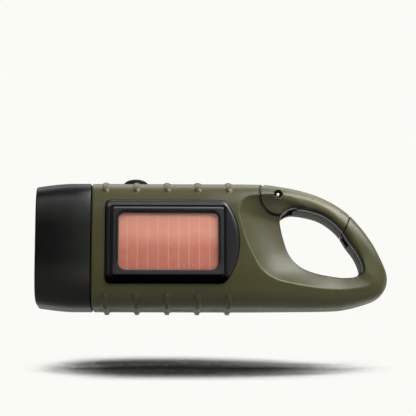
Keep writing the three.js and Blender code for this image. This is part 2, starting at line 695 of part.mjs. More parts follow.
// Button and switch
function makeSwitch() {
  const { x, radius, top, travel, flange, flangeThickness } = button;
  const under = halfHeight - wall - seatGap;
  const boardTop = switchBoard.bottom + switchBoard.thickness;
  const bodyBottom = boardTop + seatGap;
  const tactTop = bodyBottom + tact.height;
  const stemBottom = tactTop + travel + seatGap / 2;
  const crown = button.crown;
  const points = [[0, stemBottom], [buttonStem, stemBottom], [buttonStem, under - flangeThickness],
    [flange, under - flangeThickness], [flange, under], [radius, under], [radius, top - crown],
    [radius * 0.92, top - crown * 0.61], [radius * 0.71, top - crown * 0.29], [radius * 0.38, top - crown * 0.075], [0, top]];
  const geometry = new THREE.LatheGeometry(points.map(([r, z]) => new THREE.Vector2(r, z)), 20);
  geometry.rotateX(Math.PI / 2);
  geometry.translate(x, 0, 0);
  piece('button_cap', solid(geometry), black);
  const half = tact.width / 2;
  piece('tact_switch', box(x - half, x + half, -half, half, bodyBottom, tactTop), black);
  const b = switchBoard;
  const middle = cell.x;
  piece('switch_board', box(middle - holder.halfLength, x + half + seatGap, -b.halfWidth, b.halfWidth,
    b.bottom, boardTop), board);
}

// Battery
function makeBattery() {
  for (let i = 0; i < cell.count; i += 1) {
    const bottom = cell.bottom + i * cell.pitch;
    const can = rodZ(cell.x, 0, cell.radius, bottom, bottom + cell.height - seatGap / 2);
    const pole = rodZ(cell.x, 0, cell.pole, bottom + overrun, bottom + cell.height, 16);
    piece(`battery_${i + 1}`, can.add(pole), steel);
  }
  const { halfLength: reach, wall: thin, halfWidth } = holder;
  const low = cell.bottom - seatGap - thin;
  const high = switchBoard.bottom - seatGap;
  const block = box(cell.x - reach, cell.x + reach, -halfWidth, halfWidth, low, high);
  const room = box(cell.x - reach + thin, cell.x + reach - thin, -halfWidth - overrun, halfWidth + overrun,
    low + thin, high + overrun);
  piece('battery_holder', block.subtract(room), black);
}

// Lamp head
function headRings(inset, from, to) {
  const { rimHalfHeight, rimHalfDepth, taper, roundness } = head;
  const rows = [
    [ledgeX, rimHalfHeight - roundness, rimHalfDepth - roundness],
    [ledgeX + roundness, rimHalfHeight, rimHalfDepth],
    [ledgeX + taper, halfHeight, halfDepth],
    [seamX - seatGap, halfHeight, halfDepth],
  ];
  return rows.filter(([x]) => x >= from && x <= to)
    .map(([x, height, depth]) => section(x, height - inset, inset - height, depth - inset));
}

function makeHead() {
  let shell = loft(headRings(0, ledgeX, seamX));
  const inner = [ledgeX + head.mouth, seamX + overrun].map(
    (x) => section(x, halfHeight - plugSeat, plugSeat - halfHeight, halfDepth - plugSeat),
  );
  const ring = (inset, from, to) => loft([from, to].map(
    (x) => section(x, halfHeight - inset, inset - halfHeight, halfDepth - inset),
  ));
  const lip = ring(wall + seatGap, seamX - wall, seamX + plug.length)
    .subtract(ring(wall + seatGap + plug.wall, seamX - wall * 2, seamX + plug.length + overrun));
  shell = shell.subtract(loft(inner)).add(lip);
  const mouth = slabX(lensPlate.halfDepth + seatGap, lensPlate.halfHeight + seatGap, overrun, ledgeX - overrun,
    ledgeX + head.mouth + overrun);
  const boards = shellScrewPlaces.slice(0, 2).map(
    ([x, z]) => rodY(x, z, boss.radius + seatGap, -halfDepth, halfDepth),
  );
  shell = shell.subtract(mouth);
  boards.forEach((way) => {
    shell = shell.subtract(way);
  });
  piece('head_housing', shell, black);
  const sealRing = ring(sealInset, seamX - sealThickness - partingGap / 2, seamX - partingGap / 2);
  const sealHole = ring(sealInset + sealWidth, seamX - wall, seamX + wall);
  piece('head_seal', sealRing.subtract(sealHole), rubber);
  makeLamp();
}

function makeLamp() {
  const lensFront = ledgeX + lensPlate.recess;
  const lensBack = lensFront + lensPlate.thickness;
  const { halfDepth: across, halfHeight: tall } = lensPlate;
  const inset = lensSeal.width + seatGap;
  piece('lens', slabX(across - inset, tall - inset, overrun - inset, lensFront, lensBack), clear);
  const seal = slabX(across, tall, overrun, lensFront, lensBack)
    .subtract(slabX(across - lensSeal.width, tall - lensSeal.width, overrun - lensSeal.width,
      lensFront - overrun, lensBack + overrun));
  piece('lens_seal', seal, rubber);
  const r = reflector;
  const front = lensBack + seatGap;
  const back = front + r.depth;
  let cups = slabX(across - seatGap, tall - seatGap, overrun, front, back);
  const boardFront = back + seatGap;
  const ledPlaces = [-1, 0, 1].map((n) => n * r.pitch);
  ledPlaces.forEach((z) => {
    const profile = [[0 - overrun, 0], [0 - overrun, r.cup], [0, r.cup], [r.depth * 0.35, r.cup * 0.9],
      [r.depth * 0.75, r.throat * 1.15], [r.depth + overrun, r.throat * 1.15], [r.depth + overrun, 0]];
    cups = cups.subtract(turnedX(profile, front, 0, z, 16));
  });
  piece('reflector', cups, finish(0xd4d6d8, 0.2, 1));
  ledPlaces.forEach((z, i) => {
    const tip = boardFront - seatGap;
    const profile = [[-led.height, 0], [-led.height * 0.94, led.radius * 0.55], [-led.height * 0.8, led.radius * 0.9],
      [-led.height * 0.66, led.radius], [-led.rimHeight, led.radius], [-led.rimHeight, led.rim], [0, led.rim],
      [0, 0]];
    piece(`led_${i + 1}`, turnedX(profile, tip, 0, z, 12), clear);
  });
  piece('led_board', slabX(ledBoard.halfDepth, ledBoard.halfHeight, ledBoard.corner, boardFront,
    boardFront + ledBoard.thickness), board);
}

// Gear train and generator
function makeGearTrain() {
  const driveBore = crankShaftRadius + runningGap;
  piece('drive_gear', gearSolid(driveTeeth, crankPlace, 0, driveBore, levelA, levelA + faceWidth), white);
  piece('compound_gear_1', compoundGear(firstPlace, driveTeeth, 0, firstAngle, levelB, levelA), white);
  piece('compound_gear_2', compoundGear(secondPlace, wheelTeeth, 0, secondAngle, levelC, levelB), white);
  const plateTop = plate.back;
  const low = plateTop - plate.thickness;
  const top1 = levelA + faceWidth + overrun / 2;
  piece('axle_1', rodY(firstPlace[0], firstPlace[1], axleRadius, plateTop + seatGap, top1, 16), steel);
  piece('axle_2', rodY(secondPlace[0], secondPlace[1], axleRadius, plateTop + seatGap,
    levelB + faceWidth + seatGap, 16), steel);
  let sheet = box(plate.left, plate.right, low, plateTop, -plate.halfHeight, plate.halfHeight);
  const pressed = halfHeight - wall - button.flangeThickness - button.travel - seatGap * 2;
  sheet = sheet.subtract(rodZ(button.x, 0, button.flange + seatGap, pressed, halfHeight));
  const collar1 = rodY(firstPlace[0], firstPlace[1], collarRadius, low, levelB - seatGap, 16);
  const collar2 = rodY(secondPlace[0], secondPlace[1], collarRadius, low, levelC - seatGap, 16);
  sheet = sheet.add(collar1).add(collar2);
  [firstPlace, secondPlace].forEach(([x, z]) => {
    sheet = sheet.subtract(rodY(x, z, axleRadius + runningGap, plateTop, levelB, 16));
  });
  shellScrewPlaces.forEach(([x, z]) => {
    sheet = sheet.subtract(rodY(x, z, boss.radius + seatGap, low - overrun, plateTop + overrun));
  });
  postPlaces.forEach(([x, z]) => {
    sheet = sheet.subtract(rodY(x, z, post.screw + runningGap, low - overrun, plateTop + overrun, 12));
  });
  piece('gear_plate', sheet, white);
  postPlaces.forEach(([x, z], i) => {
    const headDisc = rodY(x, z, post.screwHead, low - seatGap - post.headHeight, low - seatGap, 12);
    const shank = rodY(x, z, post.screw, low - post.headHeight, plateTop + post.bite, 8);
    piece(`plate_screw_${i + 1}`, headDisc.add(shank), steel);
  });
  makeGenerator(plateTop);
}

function makeGenerator(plateTop) {
  const [x, z] = rotorPlace;
  const canLow = plateTop + seatGap;
  const canHigh = canLow + stator.height;
  const can = rodY(x, z, stator.outer, canLow, canHigh, 32)
    .subtract(rodY(x, z, stator.outer - stator.wall, canLow + stator.wall, canHigh + overrun, 32));
  piece('stator_can', can, steel);
  const coilLow = canLow + stator.wall + seatGap;
  const windings = rodY(x, z, coil.outer, coilLow, canHigh, 32)
    .subtract(rodY(x, z, coil.inner, coilLow - overrun, canHigh + overrun, 32));
  piece('stator_coil', windings, winding);
  const magnetLow = coilLow + seatGap;
  const disc = rodY(x, z, magnet.radius, magnetLow, magnetLow + magnet.height);
  piece('rotor_magnet', disc.subtract(rodY(x, z, axleRadius + runningGap, magnetLow - overrun,
    magnetLow + magnet.height + overrun, 16)), magnetGrey);
  const phase = meshPhase(wheelTeeth, 0, thirdAngle, pinionTeeth);
  const pinion = gearSolid(pinionTeeth, rotorPlace, phase, axleRadius - runningGap, levelC, levelC + faceWidth);
  const shaft = rodY(x, z, axleRadius, magnetLow, levelC + faceWidth, 16);
  piece('rotor_pinion', pinion.add(shaft), brass);
}

// Crank
function makeCrank() {
  const tube = rodY(crankX, 0, bush.radius, halfDepth - wall - seatGap, halfDepth)
    .add(rodY(crankX, 0, bush.flange, halfDepth - wall - seatGap - bush.flangeThickness,
      halfDepth - wall - seatGap, 32));
  piece('crank_bush', tube.subtract(rodY(crankX, 0, crankShaftRadius + runningGap, -halfDepth,
    halfDepth + overrun)), brass);
  const armTop = arm.face + arm.thickness;
  const shaftTop = armTop - crankScrew.height;
  const shaft = rodY(crankX, 0, crankShaftRadius, levelA - seatGap, shaftTop)
    .subtract(rodY(crankX, 0, crankScrew.shank + runningGap, shaftTop - crankScrew.depth - seatGap,
      shaftTop + overrun, 16));
  piece('crank_shaft', shaft, steel);
  const tipX = crankX - arm.length;
  const tipCentre = tipX + arm.tip;
  const outline = new THREE.Shape();
  const lean = Math.asin((arm.hub - arm.tip) / (crankX - tipCentre));
  outline.absarc(crankX, 0, arm.hub, -Math.PI / 2 - lean, Math.PI / 2 + lean, false);
  outline.absarc(tipCentre, 0, arm.tip, Math.PI / 2 + lean, Math.PI * 1.5 - lean, false);
  const inner = new THREE.Shape();
  inner.absarc(crankX, 0, arm.hub - arm.edge, -Math.PI / 2 - lean, Math.PI / 2 + lean, false);
  inner.absarc(tipCentre, 0, arm.tip - arm.edge, Math.PI / 2 + lean, Math.PI * 1.5 - lean, false);
  let lever = slab(outline, arm.face, armTop - arm.edge, 16).add(slab(inner, arm.face, armTop, 16));
  const pivotX = tipX + knob.fromTip;
  const pivotY = arm.face + knob.eye + runningGap;
  const slotFrom = pivotX - knobSlot.before;
  lever = lever.subtract(box(slotFrom, slotFrom + knobSlot.length, arm.face - overrun, armTop + overrun,
    -knobSlot.halfWidth, knobSlot.halfWidth));
  lever = lever.subtract(rodZ(pivotX, pivotY, knobPinRadius + runningGap, -arm.hub, arm.hub, 16));
  lever = lever.subtract(rodY(crankX, 0, crankShaftRadius + runningGap, arm.face - overrun, shaftTop + seatGap / 2));
  lever = lever.subtract(rodY(crankX, 0, crankScrew.radius + seatGap, shaftTop, armTop + overrun));
  piece('crank_arm', lever, black);
  const screw = rodY(crankX, 0, crankScrew.radius, shaftTop + seatGap, armTop)
    .add(rodY(crankX, 0, crankScrew.shank, shaftTop - crankScrew.depth, armTop, 16));
  piece('crank_screw', screw, steel);
  makeKnob(pivotX, pivotY);
}

function makeKnob(pivotX, pivotY) {
  const pinHalf = arm.tip - knob.fromTip / 2;
  piece('knob_pin', rodZ(pivotX, pivotY, knobPinRadius, -pinHalf, pinHalf, 16), steel);
  const axisY = pivotY + knob.lift;
  const gripStart = pivotX + knob.eye + seatGap * 2;
  const gripEnd = gripStart + knob.length;
  const eyeHalf = knobSlot.halfWidth - seatGap;
  const eye = rodZ(pivotX, pivotY, knob.eye, -eyeHalf, eyeHalf);
  const rod = rodX(axisY, 0, knob.post, pivotX, gripEnd - knob.nose * 2, 16);
  const bore = rodZ(pivotX, pivotY, knobPinRadius + runningGap, -arm.hub, arm.hub, 16);
  piece('knob_post', eye.add(rod).subtract(bore), steel);
  const { radius, nose, length } = knob;
  const depth = length - nose;
  const profile = [[0, knob.bore], [0, radius - nose], [nose, radius], [length - nose * 2, radius],
    [length - nose / 2, radius - nose], [length, radius - nose * 2], [length, 0], [depth, 0], [depth, knob.bore],
    [0, knob.bore]];
  piece('knob_grip', turnedX(profile, gripStart, axisY, 0, 24), black);
}

// Electronics
function makeElectronics() {
  const b = mainBoard;
  const back = b.front - b.thickness;
  let sheet = box(b.left, b.right, back, b.front, -b.halfHeight, b.halfHeight);
  boardPostPlaces.forEach(([x, z]) => {
    sheet = sheet.subtract(rodY(x, z, post.screw + runningGap, back - overrun, b.front + overrun, 12));
  });
  piece('main_board', sheet, board);
  boardPostPlaces.forEach(([x, z], i) => {
    const top = b.front + seatGap;
    const screw = rodY(x, z, post.screwHead, top, top + post.headHeight, 12)
      .add(rodY(x, z, post.screw, back - overrun, top + post.headHeight, 8));
    piece(`board_screw_${i + 1}`, screw, steel);
  });
  const onBoard = b.front + seatGap;
  piece('capacitor', rodY(capacitor.x, capacitor.z, capacitor.radius, onBoard, onBoard + capacitor.length), black);
  piece('charge_chip', box(chip.x - chip.size / 2, chip.x + chip.size / 2, onBoard, onBoard + chip.height,
    chip.z - chip.size / 2, chip.z + chip.size / 2), black);
}

function makeFasteners() {
  shellScrewPlaces.forEach(([x, z], i) => {
    const sink = i === tailScrew ? shellScrew.tailSink : shellScrew.sink;
    const headDisc = rodY(x, z, shellScrew.head, sink, sink + shellScrew.headHeight);
    const shank = rodY(x, z, shellScrew.shank, -shellScrew.reach, sink + shellScrew.headHeight / 2, 10);
    piece(`shell_screw_${i + 1}`, headDisc.add(shank), steel);
  });
}

makeShells();
makeGate();
makeSolarPanel();
makeSwitch();
makeBattery();
makeHead();
makeGearTrain();
makeCrank();
makeElectronics();
makeFasteners();

export default model;
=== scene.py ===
import math

import numpy

import bpy
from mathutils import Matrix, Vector


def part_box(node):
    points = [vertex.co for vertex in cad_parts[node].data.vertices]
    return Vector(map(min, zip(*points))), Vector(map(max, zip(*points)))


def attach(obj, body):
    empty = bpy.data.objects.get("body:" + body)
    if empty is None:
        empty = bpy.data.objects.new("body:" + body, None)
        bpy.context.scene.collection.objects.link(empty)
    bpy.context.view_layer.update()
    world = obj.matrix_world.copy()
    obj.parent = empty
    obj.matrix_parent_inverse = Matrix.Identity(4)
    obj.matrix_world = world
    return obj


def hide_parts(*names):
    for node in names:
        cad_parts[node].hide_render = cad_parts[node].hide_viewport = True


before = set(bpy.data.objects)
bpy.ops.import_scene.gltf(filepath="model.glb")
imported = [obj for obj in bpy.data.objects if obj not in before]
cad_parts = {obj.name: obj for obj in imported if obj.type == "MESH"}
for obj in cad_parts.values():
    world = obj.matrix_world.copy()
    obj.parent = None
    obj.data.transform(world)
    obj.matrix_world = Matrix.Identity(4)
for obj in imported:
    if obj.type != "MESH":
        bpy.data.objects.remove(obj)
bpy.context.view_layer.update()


def middle(node):
    low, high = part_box(node)
    return (low + high) / 2


MM = 0.001
PLACE = Vector((0, middle("gate_pin").y, middle("solar_bezel").z))

# Body: the lamp has the lowest x, the solar panel the lowest y. FAR is outside it in y and z
HALF_LENGTH, HALF_HEIGHT, HALF_DEPTH = 67.5, 24, 18
SQUARENESS = 4.5
WALL = 2
GAP = 0.3
OVERRUN, FAR = 3, 30

# The seam between head and shells, and its rounded edge as pairs of distance and inset
SEAM_X = -46.2
SEAM_EDGE = [(0, 0.5), (0.15, 0.15), (0.5, 0)]

# Body sections: place along the length, top, bottom and depth, as shares of the body's size
SECTION_SHARES = [
    (-0.6904, 1, -1, 1), (0.1185, 1, -1, 1), (0.2074, 1, -1, 0.983),
    (0.3007, 0.996, -1, 0.944), (0.3704, 0.973, -1, 0.9), (0.4385, 0.947, -1, 0.839),
    (0.5081, 0.908, -1, 0.778), (0.5778, 0.853, -1, 0.728), (0.6474, 0.773, -0.998, 0.683),
    (0.7156, 0.667, -0.99, 0.644), (0.7852, 0.517, -0.959, 0.611), (0.8533, 0.303, -0.908, 0.578),
    (0.8874, 0.171, -0.879, 0.556), (0.9215, 0.02, -0.842, 0.528), (0.9541, -0.161, -0.788, 0.483),
    (0.9778, -0.304, -0.708, 0.4), (0.9926, -0.408, -0.617, 0.278), (1, -0.471, -0.525, 0.133),
]

# The loop's hole, and the crease round the hollow that it lies in, point for point
HOLE_SHARES = [
    (0.39, 0.499), (0.445, 0.596), (0.505, 0.6), (0.562, 0.571), (0.619, 0.517),
    (0.677, 0.417), (0.734, 0.267), (0.781, 0.06), (0.824, -0.107), (0.854, -0.301),
    (0.857, -0.406), (0.819, -0.492), (0.748, -0.521), (0.666, -0.496), (0.586, -0.448),
    (0.513, -0.368), (0.462, -0.255), (0.428, -0.11), (0.406, 0.068), (0.389, 0.263),
    (0.383, 0.393),
]
CREASE_SHARES = [
    (0.172, 0.705), (0.277, 0.782), (0.38, 0.794), (0.48, 0.789), (0.558, 0.734),
    (0.639, 0.649), (0.718, 0.516), (0.792, 0.317), (0.849, 0.126), (0.899, -0.115),
    (0.931, -0.372), (0.9, -0.625), (0.785, -0.715), (0.671, -0.722), (0.557, -0.69),
    (0.442, -0.638), (0.349, -0.575), (0.273, -0.428), (0.205, -0.085), (0.164, 0.234),
    (0.145, 0.498),
]

# The hollow's depth at the hole's edge, what is added along the lower arm and above the hole,
# how far it overruns the crease, and how its slope sags and swells
HOLE_DEPTH, ARM_DEPTH, UPPER_DEPTH, UPPER_ARM_LOSS = 8, 1.4, 3.9, 1.7
ARM_START, ARM_LENGTH = 28, 16
RIM_OVERRUN, SAG, SAG_ARM_LOSS, SWELL = 0.1, 0.6, 0.4, 2.2

# Grip ribs. The lower ones are cut flat below
RIB_FIRST, RIB_PITCH, RIB_COUNT, RIB_HALF = -41, 11.72, 5, 0.9
RIB_PROUD, UPPER_RIB_PROUD, RIB_FLAT = 0.8, 0.5, 0.25
UPPER_RIB_END, LOWER_RIB_END = 20.6, -20.9

# Gate: its pin, the hub about it, and the nose that meets the hook
PIN, PIN_BORE = (24.9, 19), 1.15
GATE_HUB, GATE_REACH, HUB_ARC, NOSE_ARC = 6.6, 28.6, (140, 296), (-42, -2)
GATE_GAP, HUB_SEAM, NOSE_SEAM, SEAM_DEPTH, SEAM_DEPTH_ABOVE = 0.12, 1.05, 0.55, 1.3, 0.3
LUG_RADIUS, LUG_HALF, LUG_REACH, LUG_GAP = 5.8, 4.6, 13, 0.4
SINK_RADIUS, SINK_FLOOR = 1.6, 12.6
SPRING_ROOM = (25.4, 31.2, -6.2, 6.2, 0, 17)

# Liners of the hole and the lip in front of them, with their shares of the way round the hole
LINER_HALF, LINER_PROUD, LINER_TONGUE, LINER_SIDE_GAP = 6.4, 0.6, 1.6, 0.04
LIP_HALF, LIP_THICKNESS = 9.8, 1.5
GATE_LINER_SHARES, NOSE_LINER_SHARES, LIP_SHARES = (0.06, 0.33), (0.25, 0.505), (0.075, 0.485)

# Inside the shells: the hollow's end, the wall left behind the solar panel, and the screws' bosses
PARTING, ROOM_END = 0.1, 7
PANEL_WALL, PANEL_SEAT = (-43, 10, -HALF_DEPTH, -15.4, -FAR, FAR), -16.6
FRONT_BOSS, BACK_BOSS = 3, 3.6

# Shell screws: x, z and the place of the head's seat. Then the radii of the head and of the holes
# for it and the shank, and where the shank's hole ends
SCREWS = [(-42, 18.3, 13.4), (-42, -18.3, 13.4), (6.4, 18.3, 13.4), (6.4, -18.3, 13.4), (54, -19.3, 5.4)]
SCREW_HEAD, SCREW_SINK, SCREW_BORE, SCREW_END = 2.5, 2.8, 1.4, -7.3

# Button, and the radius and floor of its hole and of the dish round it
BUTTON_X, BUTTON_BORE, BUTTON_BORE_FLOOR = -29.8, 5.2, 18
BUTTON_DISH, BUTTON_DISH_FLOOR = 6.6, 23.9

# Lamp: the head's face and flare, the opening in it, and what stands in it with a gap all round
FACE_HALF_HEIGHT, FACE_HALF_DEPTH, FACE_EDGE, FLARE = 22.7, 17.2, 0.7, 12.8
OPENING_HALF_DEPTH, OPENING_HALF_HEIGHT, OPENING_CORNER = 12.3, 18.7, 3.3
PAST_FACE, OPENING_FLOOR = -70, -59.3
SEAL_GAP, REFLECTOR_GAP, SEAL_HOLE_GAP, LENS_GAP = 0.3, 0.6, 1.2, 1.5
LENS_FRONT, LENS_BACK, REFLECTOR_FRONT, REFLECTOR_BACK = -66.5, -64.9, -64.6, -53.6
LED_TIP, LED_HEIGHTS = -60, (-12.2, 0, 12.2)

# Crank: its hub's place, its arm, and the pivot that the knob folds on
CRANK_X, CRANK_LENGTH, CRANK_BORE, CRANK_BORE_FLOOR, SHAFT_BORE = -8, 36, 4.7, 10, 2.75
ARM_BACK, ARM_FACE = 18.5, 22.7
KNOB_X, KNOB_Y, KNOB_PIN_BORE = CRANK_X - CRANK_LENGTH + 5.2, ARM_BACK + 2.15, 0.95

SHELL_VOXEL, GATE_VOXEL = ((0.4, 0.28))


# Working on objects
def deselect():
    bpy.ops.object.select_all(action="DESELECT")


def choose(obj):
    deselect()
    obj.select_set(True)
    bpy.context.view_layer.objects.active = obj


def applied(obj):
    choose(obj)
    bpy.ops.object.transform_apply(location=True, rotation=True, scale=True)
    return obj


def select_mesh():
    bpy.ops.mesh.select_all(action="SELECT")


def merge_doubles():
    bpy.ops.mesh.remove_doubles(threshold=0.0001)


def turn_outwards():
    bpy.ops.mesh.normals_make_consistent(inside=False)


def edited(obj, *steps):
    choose(obj)
    bpy.ops.object.mode_set(mode="EDIT")
    select_mesh()
    for step in steps:
        step()
    bpy.ops.object.mode_set(mode="OBJECT")
    return obj


def from_points(points, edges, faces):
    mesh = bpy.data.meshes.new("part")
    mesh.from_pydata(points, edges, faces)
    obj = bpy.data.objects.new("part", mesh)
    bpy.context.scene.collection.objects.link(obj)
    return obj


def copy_of(obj):
    double = obj.copy()
    double.data = obj.data.copy()
    bpy.context.scene.collection.objects.link(double)
    return double


def modified(obj, kind, **settings):
    choose(obj)
    modifier = obj.modifiers.new(kind.lower(), kind)
    for name, value in settings.items():
        setattr(modifier, name, value)
    bpy.ops.object.modifier_apply(modifier=modifier.name)
    return obj


def combine(obj, tool, how, keep=False):
    modified(obj, "BOOLEAN", object=tool, operation=how, solver="MANIFOLD")
    if not keep:
        bpy.data.objects.remove(tool)
    return obj


def cut(obj, *tools):
    for tool in tools:
        combine(obj, tool, "DIFFERENCE")
    return obj


def add(obj, *others):
    for other in others:
        combine(obj, other, "UNION")
    return obj


def common(obj, tool, keep=False):
    return combine(obj, tool, "INTERSECT", keep)


def rounded(obj, width, segments=3, angle=40):
    return modified(obj, "BEVEL", width=width, segments=segments, limit_method="ANGLE",
                    angle_limit=math.radians(angle), use_clamp_overlap=True)


def softened(obj, voxel, steps):
    choose(obj)
    obj.data.remesh_voxel_size = voxel
    bpy.ops.object.voxel_remesh()
    return modified(obj, "SMOOTH", factor=0.5, iterations=steps)


# Solid forms
AXES = {"x": (0, math.pi / 2, 0), "y": (-math.pi / 2, 0, 0), "z": (0, 0, 0), "-y": (math.pi / 2, 0, 0)}


def block(x0, x1, y0, y1, z0, z1):
    deselect()
    centre = ((x0 + x1) / 2, (y0 + y1) / 2, (z0 + z1) / 2)
    bpy.ops.mesh.primitive_cube_add(size=1, location=centre)
    obj = bpy.context.object
    obj.scale = (x1 - x0, y1 - y0, z1 - z0)
    return applied(obj)


def rod(axis, centre, radius, low, high, sides=48):
    deselect()
    half = (low + high) / 2
    a, b = centre
    place = {"x": (half, a, b), "y": (a, half, b), "z": (a, b, half)}[axis]
    bpy.ops.mesh.primitive_cylinder_add(vertices=sides, radius=radius, depth=high - low,
                                        location=place, rotation=AXES[axis])
    return applied(bpy.context.object)


def turned(profile, axis, place, sides=64, closed=False):
    """A turned form: pairs of radius and distance along the axis."""
    points = [(radius, 0, along) for radius, along in profile]
    edges = [(i, i + 1) for i in range(len(points) - 1)]
    if closed:
        edges.append((len(points) - 1, 0))

    def spin():
        bpy.ops.mesh.spin(steps=sides, angle=2 * math.pi, center=(0, 0, 0), axis=(0, 0, 1))

    obj = edited(from_points(points, edges, []), spin, select_mesh, merge_doubles, turn_outwards)
    obj.rotation_euler = AXES[axis]
    obj.location = place
    return applied(obj)


def plate(outline, axis, low, high):
    """An outline extruded along an axis. Along y its pairs are x and z, along x they are y and z."""
    if axis == "y":
        points, way = [(a, low, b) for a, b in outline], (0, high - low, 0)
    else:
        points, way = [(low, a, b) for a, b in outline], (high - low, 0, 0)

    def extrude():
        bpy.ops.mesh.extrude_region_move(TRANSFORM_OT_translate={"value": way})

    sheet = from_points(points, [], [list(range(len(points)))])
    return edited(sheet, extrude, select_mesh, turn_outwards)


def loft(rings):
    """A skin over rings with the same number of points, closed at both ends."""
    count = len(rings[0])
    faces = [list(range(count)), list(range((len(rings) - 1) * count, len(rings) * count))]
    for r in range(len(rings) - 1):
        for i in range(count):
            a, b = r * count + i, r * count + (i + 1) % count
            faces.append((a, b, b + count, a + count))
    return edited(from_points([p for ring in rings for p in ring], [], faces), turn_outwards)


# Curves
def arc(centre, radius, start, end, steps):
    """Points on an arc, angles in degrees."""
    turns = [math.radians(start + (end - start) * i / steps) for i in range(steps + 1)]
    return [(centre[0] + radius * math.cos(t), centre[1] + radius * math.sin(t)) for t in turns]


def round_rect(a0, a1, b0, b1, radius, steps=8):
    return (arc((a1 - radius, b0 + radius), radius, -90, 0, steps)
            + arc((a1 - radius, b1 - radius), radius, 0, 90, steps)
            + arc((a0 + radius, b1 - radius), radius, 90, 180, steps)
            + arc((a0 + radius, b0 + radius), radius, 180, 270, steps))


def squircle(x, top, bottom, depth, sides=192):
    """A section across the length, between a circle and a square."""
    centre, height = (top + bottom) / 2, (top - bottom) / 2
    ring = []
    for i in range(sides):
        turn = 2 * math.pi * i / sides
        c, s = math.cos(turn), math.sin(turn)
        across = math.copysign(abs(c) ** (2 / SQUARENESS), c)
        up = math.copysign(abs(s) ** (2 / SQUARENESS), s)
        ring.append((x, depth * across, centre + height * up))
    return ring


def body_ring(x, inset, sides=192):
    return squircle(x, HALF_HEIGHT - inset, inset - HALF_HEIGHT, HALF_DEPTH - inset, sides)


def body_block(inset, low, high):
    """A straight length of the body, drawn in on all sides."""
    return loft([body_ring(x, inset, 64) for x in (low, high)])


def clamped(value):
    return min(max(value, 0), 1)


def hermite(t, a, m, b, n):
    """A cubic from a to b, with the slopes m and n at its ends."""
    return ((2 * t ** 3 - 3 * t ** 2 + 1) * a + (t ** 3 - 2 * t ** 2 + t) * m
            + (3 * t ** 2 - 2 * t ** 3) * b + (t ** 3 - t ** 2) * n)


def eased(rows, column, x):
    """A smooth value between rows that never swings past them."""
    last = len(rows) - 2
    i = min(max(sum(1 for row in rows if row[0] <= x) - 1, 0), last)

    def step(k):
        return (rows[k + 1][column] - rows[k][column]) / (rows[k + 1][0] - rows[k][0])

    def slope(k):
        if k <= 0 or k > last:
            return step(min(max(k, 0), last))
        a, b = step(k - 1), step(k)
        return 0 if a * b <= 0 else 2 * a * b / (a + b)

    width = rows[i + 1][0] - rows[i][0]
    t = clamped((x - rows[i][0]) / width)
    return hermite(t, rows[i][column], slope(i) * width, rows[i + 1][column], slope(i + 1) * width)


def section(share):
    """Top, bottom and depth of the body, where its place is a share of the half length."""
    top, bottom, depth = (eased(SECTION_SHARES, column, share) for column in (1, 2, 3))
    return top * HALF_HEIGHT, bottom * HALF_HEIGHT, depth * HALF_DEPTH


def depth_at(x, z):
    top, bottom, depth = section(x / HALF_LENGTH)
    height = min(abs((z - (top + bottom) / 2) / ((top - bottom) / 2)), 1)
    return depth * (1 - height ** SQUARENESS) ** (1 / SQUARENESS)


def closed_curve(shares, per=8):
    """A smooth closed outline through points given as shares of the body's size."""
    points = [Vector((x * HALF_LENGTH, z * HALF_HEIGHT)) for x, z in shares]
    count = len(points)
    curve = []
    for i in range(count):
        p0, p1, p2, p3 = (points[(i + k) % count] for k in (-1, 0, 1, 2))
        d0, d1, d2 = ((b - a).length ** 0.5 for a, b in ((p0, p1), (p1, p2), (p2, p3)))
        m1 = ((p1 - p0) / d0 - (p2 - p0) / (d0 + d1) + (p2 - p1) / d1) * d1
        m2 = ((p2 - p1) / d1 - (p3 - p1) / (d1 + d2) + (p3 - p2) / d2) * d1
        for k in range(per):
            p = hermite(k / per, p1, m1, p2, m2)
            curve.append((p.x, p.y))
    return curve


HOLE_CURVE = closed_curve(HOLE_SHARES)
CREASE_CURVE = closed_curve(CREASE_SHARES)


# The green body before it is divided
def envelope():
    shares = []
    for (a, *_), (b, *_) in zip(SECTION_SHARES[1:], SECTION_SHARES[2:]):
        shares += [a + (b - a) * k / 6 for k in range(6)]
    rings = [body_ring(SEAM_X + x, inset) for x, inset in SEAM_EDGE]
    rings += [squircle(share * HALF_LENGTH, *section(share)) for share in shares + [1]]
    return loft(rings)


def ribs(body):
    """Adds the ribs above and below. Each is the end of a hoop, and stops in a round."""
    high = HALF_HEIGHT + RIB_PROUD
    upper = (UPPER_RIB_PROUD, UPPER_RIB_END, UPPER_RIB_END, high)
    lower = (RIB_PROUD, LOWER_RIB_END, -high, LOWER_RIB_END)
    for i in range(RIB_COUNT):
        x = RIB_FIRST + i * RIB_PITCH
        for proud, end, bottom, top in (upper, lower):
            hoop = loft([squircle(x + side * RIB_HALF, HALF_HEIGHT + proud, -high - RIB_FLAT,
                                  HALF_DEPTH + proud) for side in (-1, 1)])
            kept = block(x - 2 * RIB_HALF, x + 2 * RIB_HALF, -FAR, FAR, bottom, top)
            add(kept, rod("y", (x, end), RIB_HALF, -FAR, FAR, 24))
            add(body, common(hoop, kept))
    return body


def slope_across(hole_point, crease_point):
    """The hollow's depths at the hole and at the crease, and how its slope sags and swells."""
    (hx, hz), (cx, cz) = hole_point, crease_point
    width = math.hypot(cx - hx, cz - hz)
    right = max(cx - hx, 0) / width
    # 0 below the hole and to its left, 1 above it and to its right
    upper = clamped(((cz - hz) / width + 0.75 * right - 0.2) / (0.4 + 0.3 * right))
    arm = clamped((hx - ARM_START) / ARM_LENGTH)
    edge = HOLE_DEPTH + ARM_DEPTH * arm * (1 - upper) + upper * (UPPER_DEPTH - UPPER_ARM_LOSS * arm)
    rim = depth_at(cx, cz) + RIM_OVERRUN
    return edge, rim, (SAG - SAG_ARM_LOSS * arm) * (1 - upper), SWELL * upper


